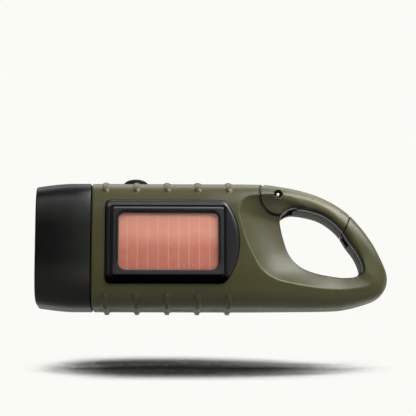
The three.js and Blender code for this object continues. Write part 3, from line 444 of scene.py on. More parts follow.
def scoop(side, lower=0, steps=12):
    """The hollow round the hole: dished below and to the left, and full above and to the right."""
    pairs = list(zip(HOLE_CURVE, CREASE_CURVE))
    slopes = [slope_across(*pair) for pair in pairs]
    rings = []
    for k in range(steps + 1):
        t = k / steps
        ring = []
        for ((hx, hz), (cx, cz)), (edge, rim, sag, swell) in zip(pairs, slopes):
            y = edge + (rim - edge) * (t - sag * t * (1 - t)) + swell * t * (1 - t)
            ring.append((hx + (cx - hx) * t, side * (y - lower), hz + (cz - hz) * t))
        rings.append(ring)
    rings.append([(x, side * FAR, z) for x, z in CREASE_CURVE])
    return loft(rings)


def gate_region(hub_grow, nose_grow):
    """What the gate takes up, seen from the side: round at the hub and at the nose, open above."""
    hub = arc(PIN, GATE_HUB + hub_grow, *HUB_ARC, 62)
    nose = arc(PIN, GATE_REACH + nose_grow, *NOSE_ARC, 30)
    outline = [(hub[0][0], FAR)] + hub + nose + [(PIN[0] + GATE_REACH + nose_grow, FAR)]
    return plate(outline, "y", -FAR, FAR)


def gate_groove():
    """What the seam round the gate takes off the shells: wide at the surface, narrow below it."""
    places = range(10, 61, 2)
    core = []
    for x in places:
        top, bottom, depth = section(x / HALF_LENGTH)
        core.append(squircle(x, top - SEAM_DEPTH_ABOVE, bottom + SEAM_DEPTH, depth - SEAM_DEPTH))
    core = cut(loft(core), scoop(-1, SEAM_DEPTH), scoop(1, SEAM_DEPTH))
    return cut(gate_region(HUB_SEAM, NOSE_SEAM), core)


def lug(grow):
    """The shells' tongue that holds the pin, inside the gate's hub."""
    half = LUG_HALF + grow
    low = HOLE_SHARES[0][1] * HALF_HEIGHT - LUG_RADIUS
    start, past_pin, below_pin = PIN[0] - LUG_REACH, PIN[0] + 2, PIN[1] - 3
    hub = rod("y", PIN, LUG_RADIUS + grow, -half, half, 64)
    way = block(start, past_pin, -half, half, low, below_pin)
    return add(hub, way, block(start, PIN[0], -half, half, low, FAR))


def edge_band(spans, outward, inward, half, steps=60):
    """A band along part of the hole's edge, between two shares of the way round it."""
    points = [Vector(p) for p in HOLE_CURVE]
    count = len(points)
    lengths = [(points[(i + 1) % count] - points[i]).length for i in range(count)]
    total = sum(lengths)

    def at(share):
        left = share * total
        for i, length in enumerate(lengths):
            if left <= length:
                tangent = (points[(i + 1) % count] - points[i - 1]).normalized()
                return points[i].lerp(points[(i + 1) % count], left / length), tangent
            left -= length

    outer, inner = [], []
    for k in range(steps + 1):
        p, tangent = at(spans[0] + (spans[1] - spans[0]) * k / steps)
        normal = Vector((tangent.y, -tangent.x))
        outer.append(p - normal * outward)
        inner.append(p + normal * inward)
    return plate([tuple(p) for p in outer + inner[::-1]], "y", -half, half)


def liner_slot(shares):
    return edge_band(shares, LINER_TONGUE + GAP, LINER_PROUD, LINER_HALF + LINER_SIDE_GAP)


def liner(shares):
    return edge_band(shares, LINER_TONGUE, LINER_PROUD, LINER_HALF)


def solar_outline(grow):
    """The bezel's outline: straight on three sides, and bulging towards the loop."""
    left, right, height, sag = -40.8 - grow, 4.4, 15.8 + grow, 5.5 + grow
    corner, bend = 2.2, 3.4 + grow
    radius = (height * height + sag * sag) / (2 * sag)
    middle_x, up = right + sag - radius, height - bend
    bend_x = middle_x + math.sqrt((radius - bend) ** 2 - up * up)
    sweep = math.degrees(math.atan2(up, bend_x - middle_x))
    outline = arc((bend_x, -up), bend, -90, -sweep, 12) + arc((middle_x, 0), radius, -sweep, sweep, 40)[1:]
    outline += arc((bend_x, up), bend, sweep, 90, 12)[1:]
    outline += arc((left + corner, height - corner), corner, 90, 180, 10)
    return outline + arc((left + corner, corner - height), corner, 180, 270, 10)


def whole_body():
    form = ribs(envelope())
    cut(form, scoop(-1), scoop(1), plate(HOLE_CURVE, "y", -FAR, FAR))
    lip = edge_band(LIP_SHARES, LIP_THICKNESS, LINER_PROUD, LIP_HALF)
    return add(form, common(lip, block(0, HALF_LENGTH, -LIP_HALF, -LINER_HALF, -FAR, FAR)))


body_form = whole_body()


def shell(side):
    """One half of the body: the front at side -1, the back at side 1."""
    low, high = (-FAR, -PARTING) if side < 0 else (PARTING, FAR)
    form = common(copy_of(body_form), block(SEAM_X - OVERRUN, HALF_LENGTH + OVERRUN, low, high, -FAR, FAR))
    softened(form, SHELL_VOXEL, 8)
    cut(form, gate_groove(), gate_region(GATE_GAP, GATE_GAP))
    room = body_block(WALL, SEAM_X - OVERRUN, ROOM_END)
    if side < 0:
        cut(room, block(*PANEL_WALL))
    for x, z, _ in SCREWS[:4]:
        cut(room, rod("y", (x, z), FRONT_BOSS if side < 0 else BACK_BOSS, -FAR, FAR, 32))
    cut(form, room)
    holder = common(lug(0), block(-3 * FAR, 3 * FAR, low, high, -FAR, FAR))
    add(form, common(holder, body_form, keep=True))
    cut(form, rod("y", PIN, PIN_BORE, -FAR, FAR), liner_slot(NOSE_LINER_SHARES))
    for x, z, seat in SCREWS:
        cut(form, rod("y", (x, z), SCREW_SINK, seat - GAP, FAR))
        cut(form, rod("y", (x, z), SCREW_BORE, SCREW_END, seat, 24))
    cut(form, rod("z", (BUTTON_X, 0), BUTTON_BORE, BUTTON_BORE_FLOOR, FAR, 64))
    cut(form, rod("z", (BUTTON_X, 0), BUTTON_DISH, BUTTON_DISH_FLOOR, FAR, 64))
    if side < 0:
        return cut(form, plate(solar_outline(GAP), "y", -FAR, PANEL_SEAT))
    return cut(form, rod("y", (CRANK_X, 0), CRANK_BORE, CRANK_BORE_FLOOR, FAR, 64))


def gate():
    form = common(copy_of(body_form), gate_region(OVERRUN, OVERRUN))
    softened(form, GATE_VOXEL, 18)
    cut(common(form, gate_region(0, 0)), lug(LUG_GAP))
    rim = [(1.5, 12), (2, 12), (2, 14.3), (1.85, 14.5), (1.65, 14.5), (1.5, 14.4)]
    for side, way in ((1, "y"), (-1, "-y")):
        low, high = sorted((side * SINK_FLOOR, side * FAR))
        add(form, turned(rim, way, (PIN[0], 0, PIN[1]), 48, closed=True))
        cut(form, rod("y", PIN, SINK_RADIUS, low, high, 48))
    return cut(form, rod("y", PIN, PIN_BORE, -FAR, FAR, 32), block(*SPRING_ROOM),
               liner_slot(GATE_LINER_SHARES))


def hole_stored(form):
    """Stores how far each point lies from the hole's edge, seen from the side."""
    points = numpy.empty(len(form.data.vertices) * 3)
    form.data.vertices.foreach_get("co", points)
    points = points.reshape(-1, 3)[:, ::2]
    farthest = 9.0
    nearest = numpy.full(len(points), farthest)
    curve = numpy.array([tuple(p) for p in HOLE_CURVE])
    for a, b in zip(curve, numpy.roll(curve, -1, axis=0)):
        along = numpy.clip((points - a) @ (b - a) / ((b - a) @ (b - a)), 0, 1)
        nearest = numpy.minimum(nearest, numpy.linalg.norm(points - a - along[:, None] * (b - a), axis=1))
    form.data.attributes.new("from_hole", "FLOAT", "POINT").data.foreach_set("value", nearest)
    return form


# The visible pieces
def gate_strip():
    return rounded(common(liner(GATE_LINER_SHARES), gate_region(0, 0)), 0.12)


def nose_strip():
    """The liner on the hook's nose, with the slanted pocket in its face."""
    form = rounded(cut(liner(NOSE_LINER_SHARES), gate_region(0.5, 0.5)), 0.12)
    half_length, half_width, front, back = 2, 1.2, -6.1, 1.6
    pocket = block(-half_length, half_length, front, back, -half_width, half_width)
    pocket.rotation_euler.y = math.radians(55)
    pocket.location = (51.1, 0, 2.3)
    return cut(form, applied(pocket))


def hinge_pin():
    end = [(0, 13.7), (0.35, 13.66), (0.65, 13.52), (0.88, 13.25), (1, 12.8)]
    profile = [(radius, -along) for radius, along in end] + end[::-1]
    return turned(profile, "y", (PIN[0], 0, PIN[1]), 40)


def bezel():
    """The rolled outer edge, the channel inside it, and the raised frame round the window."""
    back, edge, roll_width, roll_depth = -16.9, -18, 1.7, 1
    channel, channel_floor = round_rect(-39.25, 5, -13.6, 13.9, 1.4), -17.9
    raised, raised_face, raised_foot = round_rect(-38, 3.95, -12.85, 13.05, 0.8), -19.6, -17
    rings = [[(x, back, z) for x, z in solar_outline(0)]]
    for k in range(7):
        turn = math.radians(90 * k / 6)
        inset, y = roll_width * (1 - math.cos(turn)), edge - roll_depth * math.sin(turn)
        rings.append([(x, y, z) for x, z in solar_outline(-inset)])
    form = cut(loft(rings), plate(channel, "y", -FAR, channel_floor))
    add(form, rounded(plate(raised, "y", raised_face, raised_foot), 0.38, 3, 60))

    # The opening widens towards the face: growth at the sides, below and above, and place
    flare = ((0, 0, 0, -16), (0, 0, 0, -18.7), (0.25, 0.3, 0.35, -19.4), (0.4, 0.45, 0.5, -19.9))
    opening = []
    for grow, low, high, y in flare:
        outline = round_rect(-36 - grow, 2.1 + grow, -11 - low, 11.25 + high, 3.1 + grow)
        opening.append([(x, y, z) for x, z in outline])
    return cut(form, loft(opening))


def window():
    front, back, half_height = -18.6, -17.8, 10.9
    return rounded(plate(round_rect(-35.9, 2, -half_height, half_height, 2.4), "y", front, back), 0.2)


def button():
    radius, rise, shoulder = 4.9, 2.4, 24.8
    turns = [math.radians(a) for a in range(0, 90, 6)]
    dome = [(radius * math.cos(t), shoulder + rise * math.sin(t)) for t in turns] + [(0, shoulder + rise)]
    stem = [(0, 18.95), (1.6, 18.95), (1.6, 20.8), (5.9, 20.8), (5.9, 21.7), (radius, 21.7)]
    return turned(stem + dome, "z", (BUTTON_X, 0, 0), 96)


def lamp_block(inset, low, high):
    """A block as wide and high as the lamp's opening, less an even gap round it."""
    y, z = OPENING_HALF_DEPTH - inset, OPENING_HALF_HEIGHT - inset
    return plate(round_rect(-y, y, -z, z, OPENING_CORNER - inset), "x", low, high)


def head():
    """The lamp's housing: it flares from a rounded face to the body's size, and has a plug behind."""
    rings = []
    for k in range(6):
        turn = math.radians(90 * k / 5)
        inset = FACE_EDGE * (1 - math.sin(turn))
        x = -HALF_LENGTH + FACE_EDGE * (1 - math.cos(turn))
        high = FACE_HALF_HEIGHT - inset
        rings.append(squircle(x, high, -high, FACE_HALF_DEPTH - inset))
    for k in range(1, 13):
        t = k / 12
        grow = 1 - (1 - t) ** 1.5
        high = FACE_HALF_HEIGHT + (HALF_HEIGHT - FACE_HALF_HEIGHT) * grow
        depth = FACE_HALF_DEPTH + (HALF_DEPTH - FACE_HALF_DEPTH) * grow
        rings.append(squircle(FACE_EDGE - HALF_LENGTH + FLARE * t, high, -high, depth))
    rings += [body_ring(SEAM_X - GAP - x, inset) for x, inset in SEAM_EDGE[::-1]]
    cavity, plug, plug_bore = (3.2, -62.3, -43.6), (2.3, -48.6, -43.4), (3.7, -50.6, -40.4)
    form = cut(loft(rings), body_block(*cavity))
    add(form, cut(body_block(*plug), body_block(*plug_bore)))
    cut(form, lamp_block(0, PAST_FACE, OPENING_FLOOR))
    for x, z, _ in SCREWS[:2]:
        cut(form, rod("y", (x, z), BACK_BOSS + GAP, -HALF_DEPTH, HALF_DEPTH))
    return form


def lens():
    return rounded(lamp_block(LENS_GAP, LENS_FRONT, LENS_BACK), 0.25)


def lens_seal():
    seal = lamp_block(SEAL_GAP, LENS_FRONT, LENS_BACK)
    return rounded(cut(seal, lamp_block(SEAL_HOLE_GAP, PAST_FACE, OPENING_FLOOR)), 0.2)


def reflector():
    """A plated block with a bowl for each lamp."""
    form = lamp_block(REFLECTOR_GAP, REFLECTOR_FRONT, REFLECTOR_BACK)
    mouth, neck, depth = 5.6, 3.1, 11
    bowl = [(neck + (mouth - neck) * math.sqrt(1 - k / 12), depth * k / 12) for k in range(1, 13)]
    profile = [(0, -3), (5.9, -3), (5.9, -0.1), (mouth, 0.2)] + bowl + [(neck, 14), (0, 14)]
    for z in LED_HEIGHTS:
        cut(form, turned(profile, "x", (REFLECTOR_FRONT, 0, z), 72))
    return form


def led(z):
    radius, foot, foot_start, foot_end = 2.3, 2.6, 5.6, 6.4
    turns = [math.radians(a) for a in range(0, 91, 10)]
    dome = [(radius * math.sin(t), radius * (1 - math.cos(t))) for t in turns]
    base = [(radius, foot_start), (foot, foot_start), (foot, foot_end), (0, foot_end)]
    return turned(dome + base, "x", (LED_TIP, 0, z), 48)


def screw_cross(form, low, high, place):
    """Cuts the cross recess into a screw's head."""
    arm_long, arm_wide = 0.62 * SCREW_HEAD, 0.14 * SCREW_HEAD
    x, z = place
    cut(form, block(x - arm_long, x + arm_long, low, high, z - arm_wide, z + arm_wide))
    return cut(form, block(x - arm_wide, x + arm_wide, low, high, z - arm_long, z + arm_long))


def shell_screw(x, z, seat):
    shank = [(0, -7), (0.8, -7), (1.1, -6.2), (1.1, seat)]
    head_rise = [(SCREW_HEAD, 0), (SCREW_HEAD, 0.9), (2.2, 1.3), (1.5, 1.55), (0, 1.6)]
    profile = shank + [(radius, seat + rise) for radius, rise in head_rise]
    return screw_cross(turned(profile, "y", (x, 0, z), 40), seat + 0.7, seat + 3, (x, z))


def crank_arm():
    """A flat arm that narrows towards its tip, with the slot that the knob folds into."""
    hub, tip = 7.4, 6.6
    tip_x = CRANK_X - CRANK_LENGTH + tip
    lean = math.degrees(math.asin((hub - tip) / (CRANK_X - tip_x)))
    outline = (arc((CRANK_X, 0), hub, -90 - lean, 90 + lean, 48)
               + arc((tip_x, 0), tip, 90 + lean, 270 - lean, 48))
    form = rounded(plate(outline, "y", ARM_BACK, ARM_FACE), 0.7, 4, 50)
    before, behind, half, corner = 3.1, 16.4, 3.8, 0.6
    inside, outside, past_sides, screw_floor, overlap = 15, 26, 8, 21.5, 0.15
    slot = round_rect(KNOB_X - before, KNOB_X + behind, -half, half, corner)
    pin_bore = rod("z", (KNOB_X, KNOB_Y), KNOB_PIN_BORE, -past_sides, past_sides, 24)
    cut(form, plate(slot, "y", inside, outside), pin_bore)
    cut(form, rod("y", (CRANK_X, 0), SHAFT_BORE, inside, screw_floor + overlap))
    return cut(form, rod("y", (CRANK_X, 0), SCREW_SINK, screw_floor, outside))


def crank_screw():
    end, seat = 15.5, 21.8
    profile = [(0, end), (1.1, end), (1.1, seat), (SCREW_HEAD, seat), (SCREW_HEAD, seat + 0.5),
               (2.2, seat + 0.8), (0, seat + 0.9)]
    return screw_cross(turned(profile, "y", (CRANK_X, 0, 0), 48), seat + 0.2, seat + 2.2, (CRANK_X, 0))


def knob_grip():
    """The knob's grip as it lies folded: a grooved barrel, open at the end that its post enters."""
    radius, bore, length, end_wall = 3.3, 1.7, 12.6, 0.8
    groove_first, groove_pitch, groove_floor = 1.9, 1.85, 3.02
    profile = [(bore, 0), (2.5, 0), (2.9, 0.15), (3.2, 0.5), (radius, 0.9)]
    for k in range(5):
        groove = groove_first + k * groove_pitch
        profile += [(radius, groove - 0.35), (groove_floor, groove - 0.15)]
        profile += [(groove_floor, groove + 0.15), (radius, groove + 0.35)]
    profile += [(radius, length - 1.2), (3.1, length - 0.6), (2.7, length - 0.2), (2.1, length)]
    profile += [(0, length), (0, length - end_wall), (bore, length - end_wall), (bore, 0)]
    start_x, middle_y = KNOB_X + 2.6, KNOB_Y + 1.3
    return turned(profile, "x", (start_x, middle_y, 0), 64)


def crank_bush():
    flange, outside = 6, CRANK_BORE - GAP
    profile = [(SHAFT_BORE, 14.8), (flange, 14.8), (flange, 15.7), (outside, 15.7), (outside, 17.8),
               (outside - 0.2, 18), (SHAFT_BORE + 0.2, 18), (SHAFT_BORE, 17.8)]
    return turned(profile, "y", (CRANK_X, 0, 0), 64, closed=True)


# Shader maths
class Socket:
    """An output socket, with the arithmetic that adds Math nodes."""

    def __init__(self, owner, output):
        self.owner, self.output = owner, output

    def math(self, operation, *values):
        return self.owner.node("Math", {"operation": operation}, list(values))

    def __add__(self, other):
        return self.math("ADD", self, other)

    def __sub__(self, other):
        return self.math("SUBTRACT", self, other)

    def __rsub__(self, other):
        return self.math("SUBTRACT", other, self)

    def __mul__(self, other):
        return self.math("MULTIPLY", self, other)

    def __truediv__(self, other):
        return self.math("DIVIDE", self, other)

    def __pow__(self, other):
        return self.math("POWER", self, other)

    def __abs__(self):
        return self.math("ABSOLUTE", self)

    def __gt__(self, other):
        return self.math("GREATER_THAN", self, other)

    def __lt__(self, other):
        return self.math("LESS_THAN", self, other)

    def within(self, low, high):
        return (self > low) * (self < high)

    __radd__ = __add__
    __rmul__ = __mul__


class Nodes:
    """A node tree, with one way to add any node."""

    def __init__(self, tree):
        self.tree = tree

    def node(self, kind, settings, inputs, output=0):
        made = self.tree.nodes.new("ShaderNode" + kind)
        for name, value in settings.items():
            setattr(made, name, value)
        pairs = inputs.items() if isinstance(inputs, dict) else enumerate(inputs)
        for key, value in pairs:
            if isinstance(value, Socket):
                self.tree.links.new(value.output, made.inputs[key])
            else:
                made.inputs[key].default_value = value
        return Socket(self, made.outputs[output])

    def show(self, output_node, surface):
        self.tree.links.new(surface.output, self.tree.nodes[output_node].inputs["Surface"])


class Finish(Nodes):
    """A material on the Principled shader."""

    def __init__(self, name, **constants):
        self.material = bpy.data.materials.new(name)
        self.material.use_nodes = True
        super().__init__(self.material.node_tree)
        self.shader = self.tree.nodes["Principled BSDF"]
        for socket, value in constants.items():
            self.shader.inputs[socket.replace("_", " ")].default_value = value

    def feed(self, socket, value):
        self.tree.links.new(value.output, self.shader.inputs[socket])

    def place(self):
        return self.node("TexCoord", {}, {}, "Object")

    def along(self, axis):
        return self.node("SeparateXYZ", {}, [self.place()], "xyz".index(axis))

    def body(self, axis):
        """The place along an axis in millimetres about the middle of the body."""
        return (self.along(axis) - PLACE["xyz".index(axis)]) / MM

    def noise(self, scale, detail=3, stretch=(1, 1, 1)):
        where = self.node("Mapping", {}, {"Vector": self.place(), "Scale": stretch})
        return self.node("TexNoise", {}, {"Vector": where, "Scale": scale, "Detail": detail,
                                          "Roughness": 0.5}, "Fac")

    def grade(self, value, low, high):
        """Maps a value from low to high onto 0 to 1."""
        return self.node("MapRange", {}, {"Value": value, "From Min": low, "From Max": high}, "Result")

    def hump(self, value, start, full, still, end):
        """Rises from 0 to 1 between the first two values, and falls back between the last two."""
        return self.grade(value, start, full) * (1 - self.grade(value, still, end))

    def lines(self, value, first, pitch, core, edge):
        """Is 1 on evenly spaced lines. Their core and their edge are shares of the pitch."""
        phase = self.node("Math", {"operation": "FRACT"}, [(value - first) / pitch + 0.5])
        return 1 - self.grade(abs(phase - 0.5), core, edge)

    def patch(self, across, up, left, right, low, high, radius):
        """Is 1 inside a rounded rectangle."""
        reach = 0
        for value, a, b in ((across, left, right), (up, low, high)):
            away = abs(value - (a + b) / 2)
            past = self.node("Math", {"operation": "MAXIMUM"}, [away - ((b - a) / 2 - radius), 0])
            reach = past * past + reach
        return reach < radius ** 2

    def stored(self, name):
        return self.node("Attribute", {"attribute_name": name}, {}, "Fac")

    def mix(self, factor, a, b):
        colours = {6: a if isinstance(a, Socket) else (*a, 1), 7: b if isinstance(b, Socket) else (*b, 1)}
        return self.node("Mix", {"data_type": "RGBA"}, {0: factor, **colours}, 2)

    def matt(self, factor, colour):
        """Goes over to a surface without gloss where the factor is 1."""
        flat = self.node("BsdfDiffuse", {}, {"Color": (*colour, 1)})
        glossy = Socket(self, self.shader.outputs[0])
        self.show("Material Output", self.node("MixShader", {}, [factor, glossy, flat]))

    def bump(self, height, distance):
        self.feed("Normal", self.node("Bump", {}, {"Height": height, "Distance": distance}))

    def speckled(self, base, spread, roughness, grain, relief=0.005 * MM):
        """A moulded surface: slight changes of colour and gloss, and a fine grain."""
        broad = self.grade(self.noise(60, 4), 0.3, 0.7)
        colour = self.mix(broad, shaded(base, 1 - spread), shaded(base, 1 + spread))
        self.feed("Base Color", colour)
        self.feed("Roughness", self.noise(240) * 0.16 + (roughness - 0.08))
        self.bump(self.noise(grain, 2), relief)
        return colour


def shaded(colour, share):
    return tuple(c * share for c in colour)


# Finishes. Their places are in millimetres, and their grain is so many to a metre
def olive_plastic():
    """Green all over, with painted light on the gate's scooped face and at the hook's bend, and painted
    shade along the hole's edge and in the seams round the gate.
    """
    green, scoop_painted_light, bend_painted_light = (0.043, 0.041, 0.011), (0.09, 0.086, 0.038), (0.075, 0.072, 0.033)
    shadow, seam_painted_shade = (0.009, 0.0095, 0.006), (0.002, 0.002, 0.0015)
    f = Finish("olive_moulded_plastic", Specular_IOR_Level=0.4)
    colour = f.speckled(green, 0.06, 0.42, 2400)
    from_hole = f.stored("from_hole")
    x, z = f.body("x") - PIN[0], f.body("z") - PIN[1]
    reach = (x * x + z * z) ** 0.5

    # Painted light on the scooped face: a pale band beside the hole, above a slanted line and short of the
    # nose
    scoop_light_band = f.hump(from_hole, 0.4, 1.6, 4.4, 6.8)
    above = f.grade(z + x * 0.62, -8.5, -4.5) * (1 - f.grade(reach, 24, 31))
    colour = f.mix(scoop_light_band * above * 0.9, colour, scoop_painted_light)

    # Painted light: a pale spot about the middle of the bend. Painted shade: a dark edge along the hole
    bend_x, bend_z = x - 33, z + 28.5
    bend = 1 - f.grade((bend_x * bend_x + bend_z * bend_z) ** 0.5, 1.5, 7.5)
    colour = f.mix(bend * 0.8, colour, bend_painted_light)
    colour = f.mix((1 - f.grade(from_hole, 0.25, 0.65)) * 0.88, colour, shadow)

    # Painted shade in the seams round the gate's nose and hub, from just outside the gate
    start, nose_end, hub_end = 0.02, GATE_REACH + NOSE_SEAM - 0.03, GATE_HUB + HUB_SEAM - 0.03
    nose = reach.within(GATE_REACH + start, nose_end) * (x > 20) * (z > -20)
    hub = reach.within(GATE_HUB + start, hub_end) * (x < 1.2) * (z < 4.2)
    f.feed("Base Color", f.mix(nose + hub, colour, seam_painted_shade))

    # A dull band on the body, left of the gate and below its pin
    dull = f.hump(z, -5, -3, -1, 1.5) * (1 - f.grade(x, -30, -22))
    f.matt(dull * 0.5, green)
    return f.material


def black_plastic():
    """Black, with painted reflections that make the lamp's head greyer in bands, and dull along the head's
    top edge.
    """
    black, head_painted_reflection_grey, dull_black = (0.0022, 0.0022, 0.002), (0.0165, 0.0165, 0.0158), (0.012, 0.012, 0.0115)
    f = Finish("black_satin_plastic", Specular_IOR_Level=0.22)
    colour = f.speckled(black, 0.2, 0.36, 2600)
    x, z = f.body("x"), f.body("z")
    on_head, height = x < SEAM_X + 1.7, abs(z)
    # Painted reflections: the head is greyer away from its face and away from its middle height, but not
    # near its top and bottom
    bands = f.grade(x, -62, -50) * 0.45 + f.grade(height, 6, 12) * 0.55
    head_painted_reflections = bands * (1 - f.grade(height, 14, 18)) * on_head
    f.feed("Base Color", f.mix(head_painted_reflections, colour, head_painted_reflection_grey))
    top_edge = f.grade(z, 19, 21.8) * on_head
    f.matt(top_edge * 0.4, dull_black)
    return f.material


def button_rubber():
    f = Finish("black_button_rubber", Specular_IOR_Level=0.05)
    f.speckled((0.002, 0.002, 0.002), 0.2, 0.6, 2600)
    return f.material


def panel_plastic():
    """The bezel, with painted shade in and round its window opening, at its left end and along its foot,
    painted highlights on its upper roll and on the raised frame's top edge, and painted shading on the
    raised frame's face.
    """
    grey, recess_painted_shade, foot, left_end_painted_shade = (0.0145, 0.014, 0.016), (0.0005,) * 3, (0.0008,) * 3, (0.0015,) * 3
    low_face_painted_lighter, high_face_painted_darker = (0.034, 0.033, 0.034), (0.021, 0.0205, 0.021)
    roll_painted_highlight, edge_painted_highlight = (0.075, 0.074, 0.073), (0.09, 0.088, 0.088)
    f = Finish("panel_black_plastic", Specular_IOR_Level=0.32)
    colour = f.speckled(grey, 0.1, 0.32, 2600)
    x, y, z = (f.body(axis) for axis in "xyz")
    # Painted shade along the foot
    colour = f.mix(f.grade(z, -14.8, -13.1), foot, colour)
    # The raised frame's face is a lighter grey, with painted shading that makes it lighter low down than
    # high up
    raised_face = f.mix(f.grade(z, -13, -8), low_face_painted_lighter, high_face_painted_darker)
    colour = f.mix(y < -19.45, colour, raised_face)
    # Painted highlight along the upper roll
    upper_roll = f.hump(z, 12.9, 13.6, 14.1, 14.7) * (x < 5.5)
    colour = f.mix(upper_roll, colour, roll_painted_highlight)
    # Painted shade at the left end
    colour = f.mix(1 - f.grade(x, -40.7, -39.4), colour, left_end_painted_shade)
    # Painted highlight along the raised frame's top edge
    raised_edge = f.grade(z, 12.3, 12.7) * (y < -19.1) * x.within(-38.3, 4.3)
    colour = f.mix(raised_edge, colour, edge_painted_highlight)
    # Painted shade round the window opening and on its inner walls
    opening = f.patch(x, z, -36.6, 2.8, -10.4, 11.95, 3.6)
    colour = f.mix(opening, colour, recess_painted_shade)
    inside = (y > -19.3) * x.within(-36.6, 2.7) * z.within(-11.8, 12.2)
    f.feed("Base Color", f.mix(inside, colour, recess_painted_shade))
    f.feed("Roughness", f.noise(240) * 0.16 + inside * 0.5 + 0.24)
    # Painted shade: the foot goes over to a dark surface without gloss
    f.matt(1 - f.grade(z, -13.8, -12.1), foot)
    return f.material


def liner_plastic():
    f = Finish("dark_grey_plastic", Specular_IOR_Level=0.25)
    f.speckled((0.009, 0.0096, 0.0074), 0.08, 0.55, 2000)
    return f.material


def dark_rubber():
    f = Finish("dark_rubber")
    f.speckled((0.009, 0.009, 0.009), 0.15, 0.8, 1500, 0.04 * MM)
    return f.material


def cell_coating():
    """Copper with a painted reflection that pales it upwards, with the cell's upright bus lines and its
    faint level ones.
    """
    low_copper, pale_copper_painted_reflection, cloud = (0.61, 0.13, 0.056), (0.82, 0.315, 0.2), (0.85, 0.42, 0.3)
    faint_line, bus_line = (0.9, 0.55, 0.45), (0.92, 0.62, 0.52)
    f = Finish("copper_solar_cell", Coat_Weight=0.3, Coat_Roughness=0.15)
    x, z = f.body("x"), f.body("z")
    # Painted reflection: the copper pales upwards over a wavy line
    colour = f.mix(f.grade(z + f.noise(110, 2) * 4, -1.2, 5.2), low_copper, pale_copper_painted_reflection)
    colour = f.mix(f.grade(f.noise(500, 4), 0.35, 0.65) * 0.1, colour, cloud)
    level, upright = f.lines(z, -0.05, 1.1, 0.06, 0.2), f.lines(x, -32.6, 3.91, 0.035, 0.085)
    colour = f.mix(level * 0.05, colour, faint_line)
    f.feed("Base Color", f.mix(upright * 0.2, colour, bus_line))
    f.feed("Roughness", f.noise(700, 2) * 0.2 + 0.3)
    return f.material


def clear_plastic(name, alpha, roughness):
    f = Finish(name, Base_Color=(0.9, 0.92, 0.92, 1), Roughness=roughness)
    gloss = f.node("LayerWeight", {}, {"Blend": 0.25}, "Fresnel")
    f.feed("Alpha", gloss * 0.6 + alpha)
    return f.material


def metal(name, base, roughness, stretch=(1, 1, 1)):
    """A metal with a fine brushed grain, which can be drawn out along an axis."""
    f = Finish(name, Metallic=1.0)
    streak = f.noise(1200, 3, stretch)
    f.feed("Base Color", f.mix(f.grade(f.noise(90), 0.3, 0.7), shaded(base, 0.93), base))
    f.feed("Roughness", streak * 0.16 + (roughness - 0.08))
    f.bump(streak, 0.004 * MM)
    return f.material


def acetal():
    f = Finish("white_acetal")
    f.speckled((0.75, 0.73, 0.68), 0.03, 0.4, 1500)
    return f.material


def circuit_board():
    f = Finish("green_circuit_board", Coat_Weight=0.5)
    weave = f.grade(f.noise(1600, 2, (1, 1, 3)), 0.3, 0.7)
    f.feed("Base Color", f.mix(weave, (0.008, 0.07, 0.03), (0.015, 0.11, 0.05)))
    f.feed("Roughness", f.noise(300, 2) * 0.2 + 0.25)
    return f.material


def copper_winding():
    f = Finish("enamelled_copper_wire", Metallic=0.8, Coat_Weight=0.4)
    turns = f.node("TexWave", {"bands_direction": "Y"},
                   {"Vector": f.place(), "Scale": 900, "Distortion": 0.4}, "Fac")
    f.feed("Base Color", f.mix(turns, (0.25, 0.07, 0.025), (0.62, 0.23, 0.09)))
    f.feed("Roughness", turns * -0.15 + 0.45)
    f.bump(turns, 0.05 * MM)
    return f.material


def chrome():
    f = Finish("bright_reflector_plating", Metallic=1.0, Base_Color=(0.88, 0.89, 0.9, 1))
    f.feed("Roughness", f.noise(400, 2) * 0.08 + 0.06)
    return f.material


def magnet_grey():
    f = Finish("grey_magnet", Metallic=0.6)
    f.feed("Base Color", f.mix(f.noise(900, 4), (0.035, 0.036, 0.042), (0.075, 0.077, 0.085)))
    f.feed("Roughness", f.noise(500) * 0.2 + 0.35)
    return f.material


OLIVE = olive_plastic()
BLACK = black_plastic()
PANEL = panel_plastic()
LINER = liner_plastic()
BUTTON = button_rubber()
RUBBER = dark_rubber()
CELL = cell_coating()
WINDOW = clear_plastic("clear_cast_window", 0.03, 0.04)
LENS = clear_plastic("clear_lens_plastic", 0.05, 0.04)
LED_RESIN = clear_plastic("clear_lamp_resin", 0.3, 0.1)
PIN_STEEL = metal("polished_pin_steel", (0.95, 0.95, 0.94), 0.5)
STEEL = metal("bright_steel", (0.75, 0.75, 0.74), 0.24)
CAN = metal("nickel_plated_can", (0.55, 0.54, 0.52), 0.32, (1, 1, 8))
BRASS = metal("turned_brass", (0.72, 0.52, 0.24), 0.3)
ACETAL = acetal()
BOARD = circuit_board()
WINDING = copper_winding()
CHROME = chrome()
MAGNET = magnet_grey()


# Into the model
def piece(form, name, body, slot, finish, *nodes):
    """Scales a form to metres at its place, and says what it is in the model."""
    form.name = name
    form.data.name = name
    form.scale = (MM, MM, MM)
    form.location = PLACE
    applied(form)
    bpy.ops.object.shade_smooth_by_angle(angle=math.radians(35))
    form.data.materials.clear()
    form.data.materials.append(finish)
    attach(form, body)
    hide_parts(*nodes)


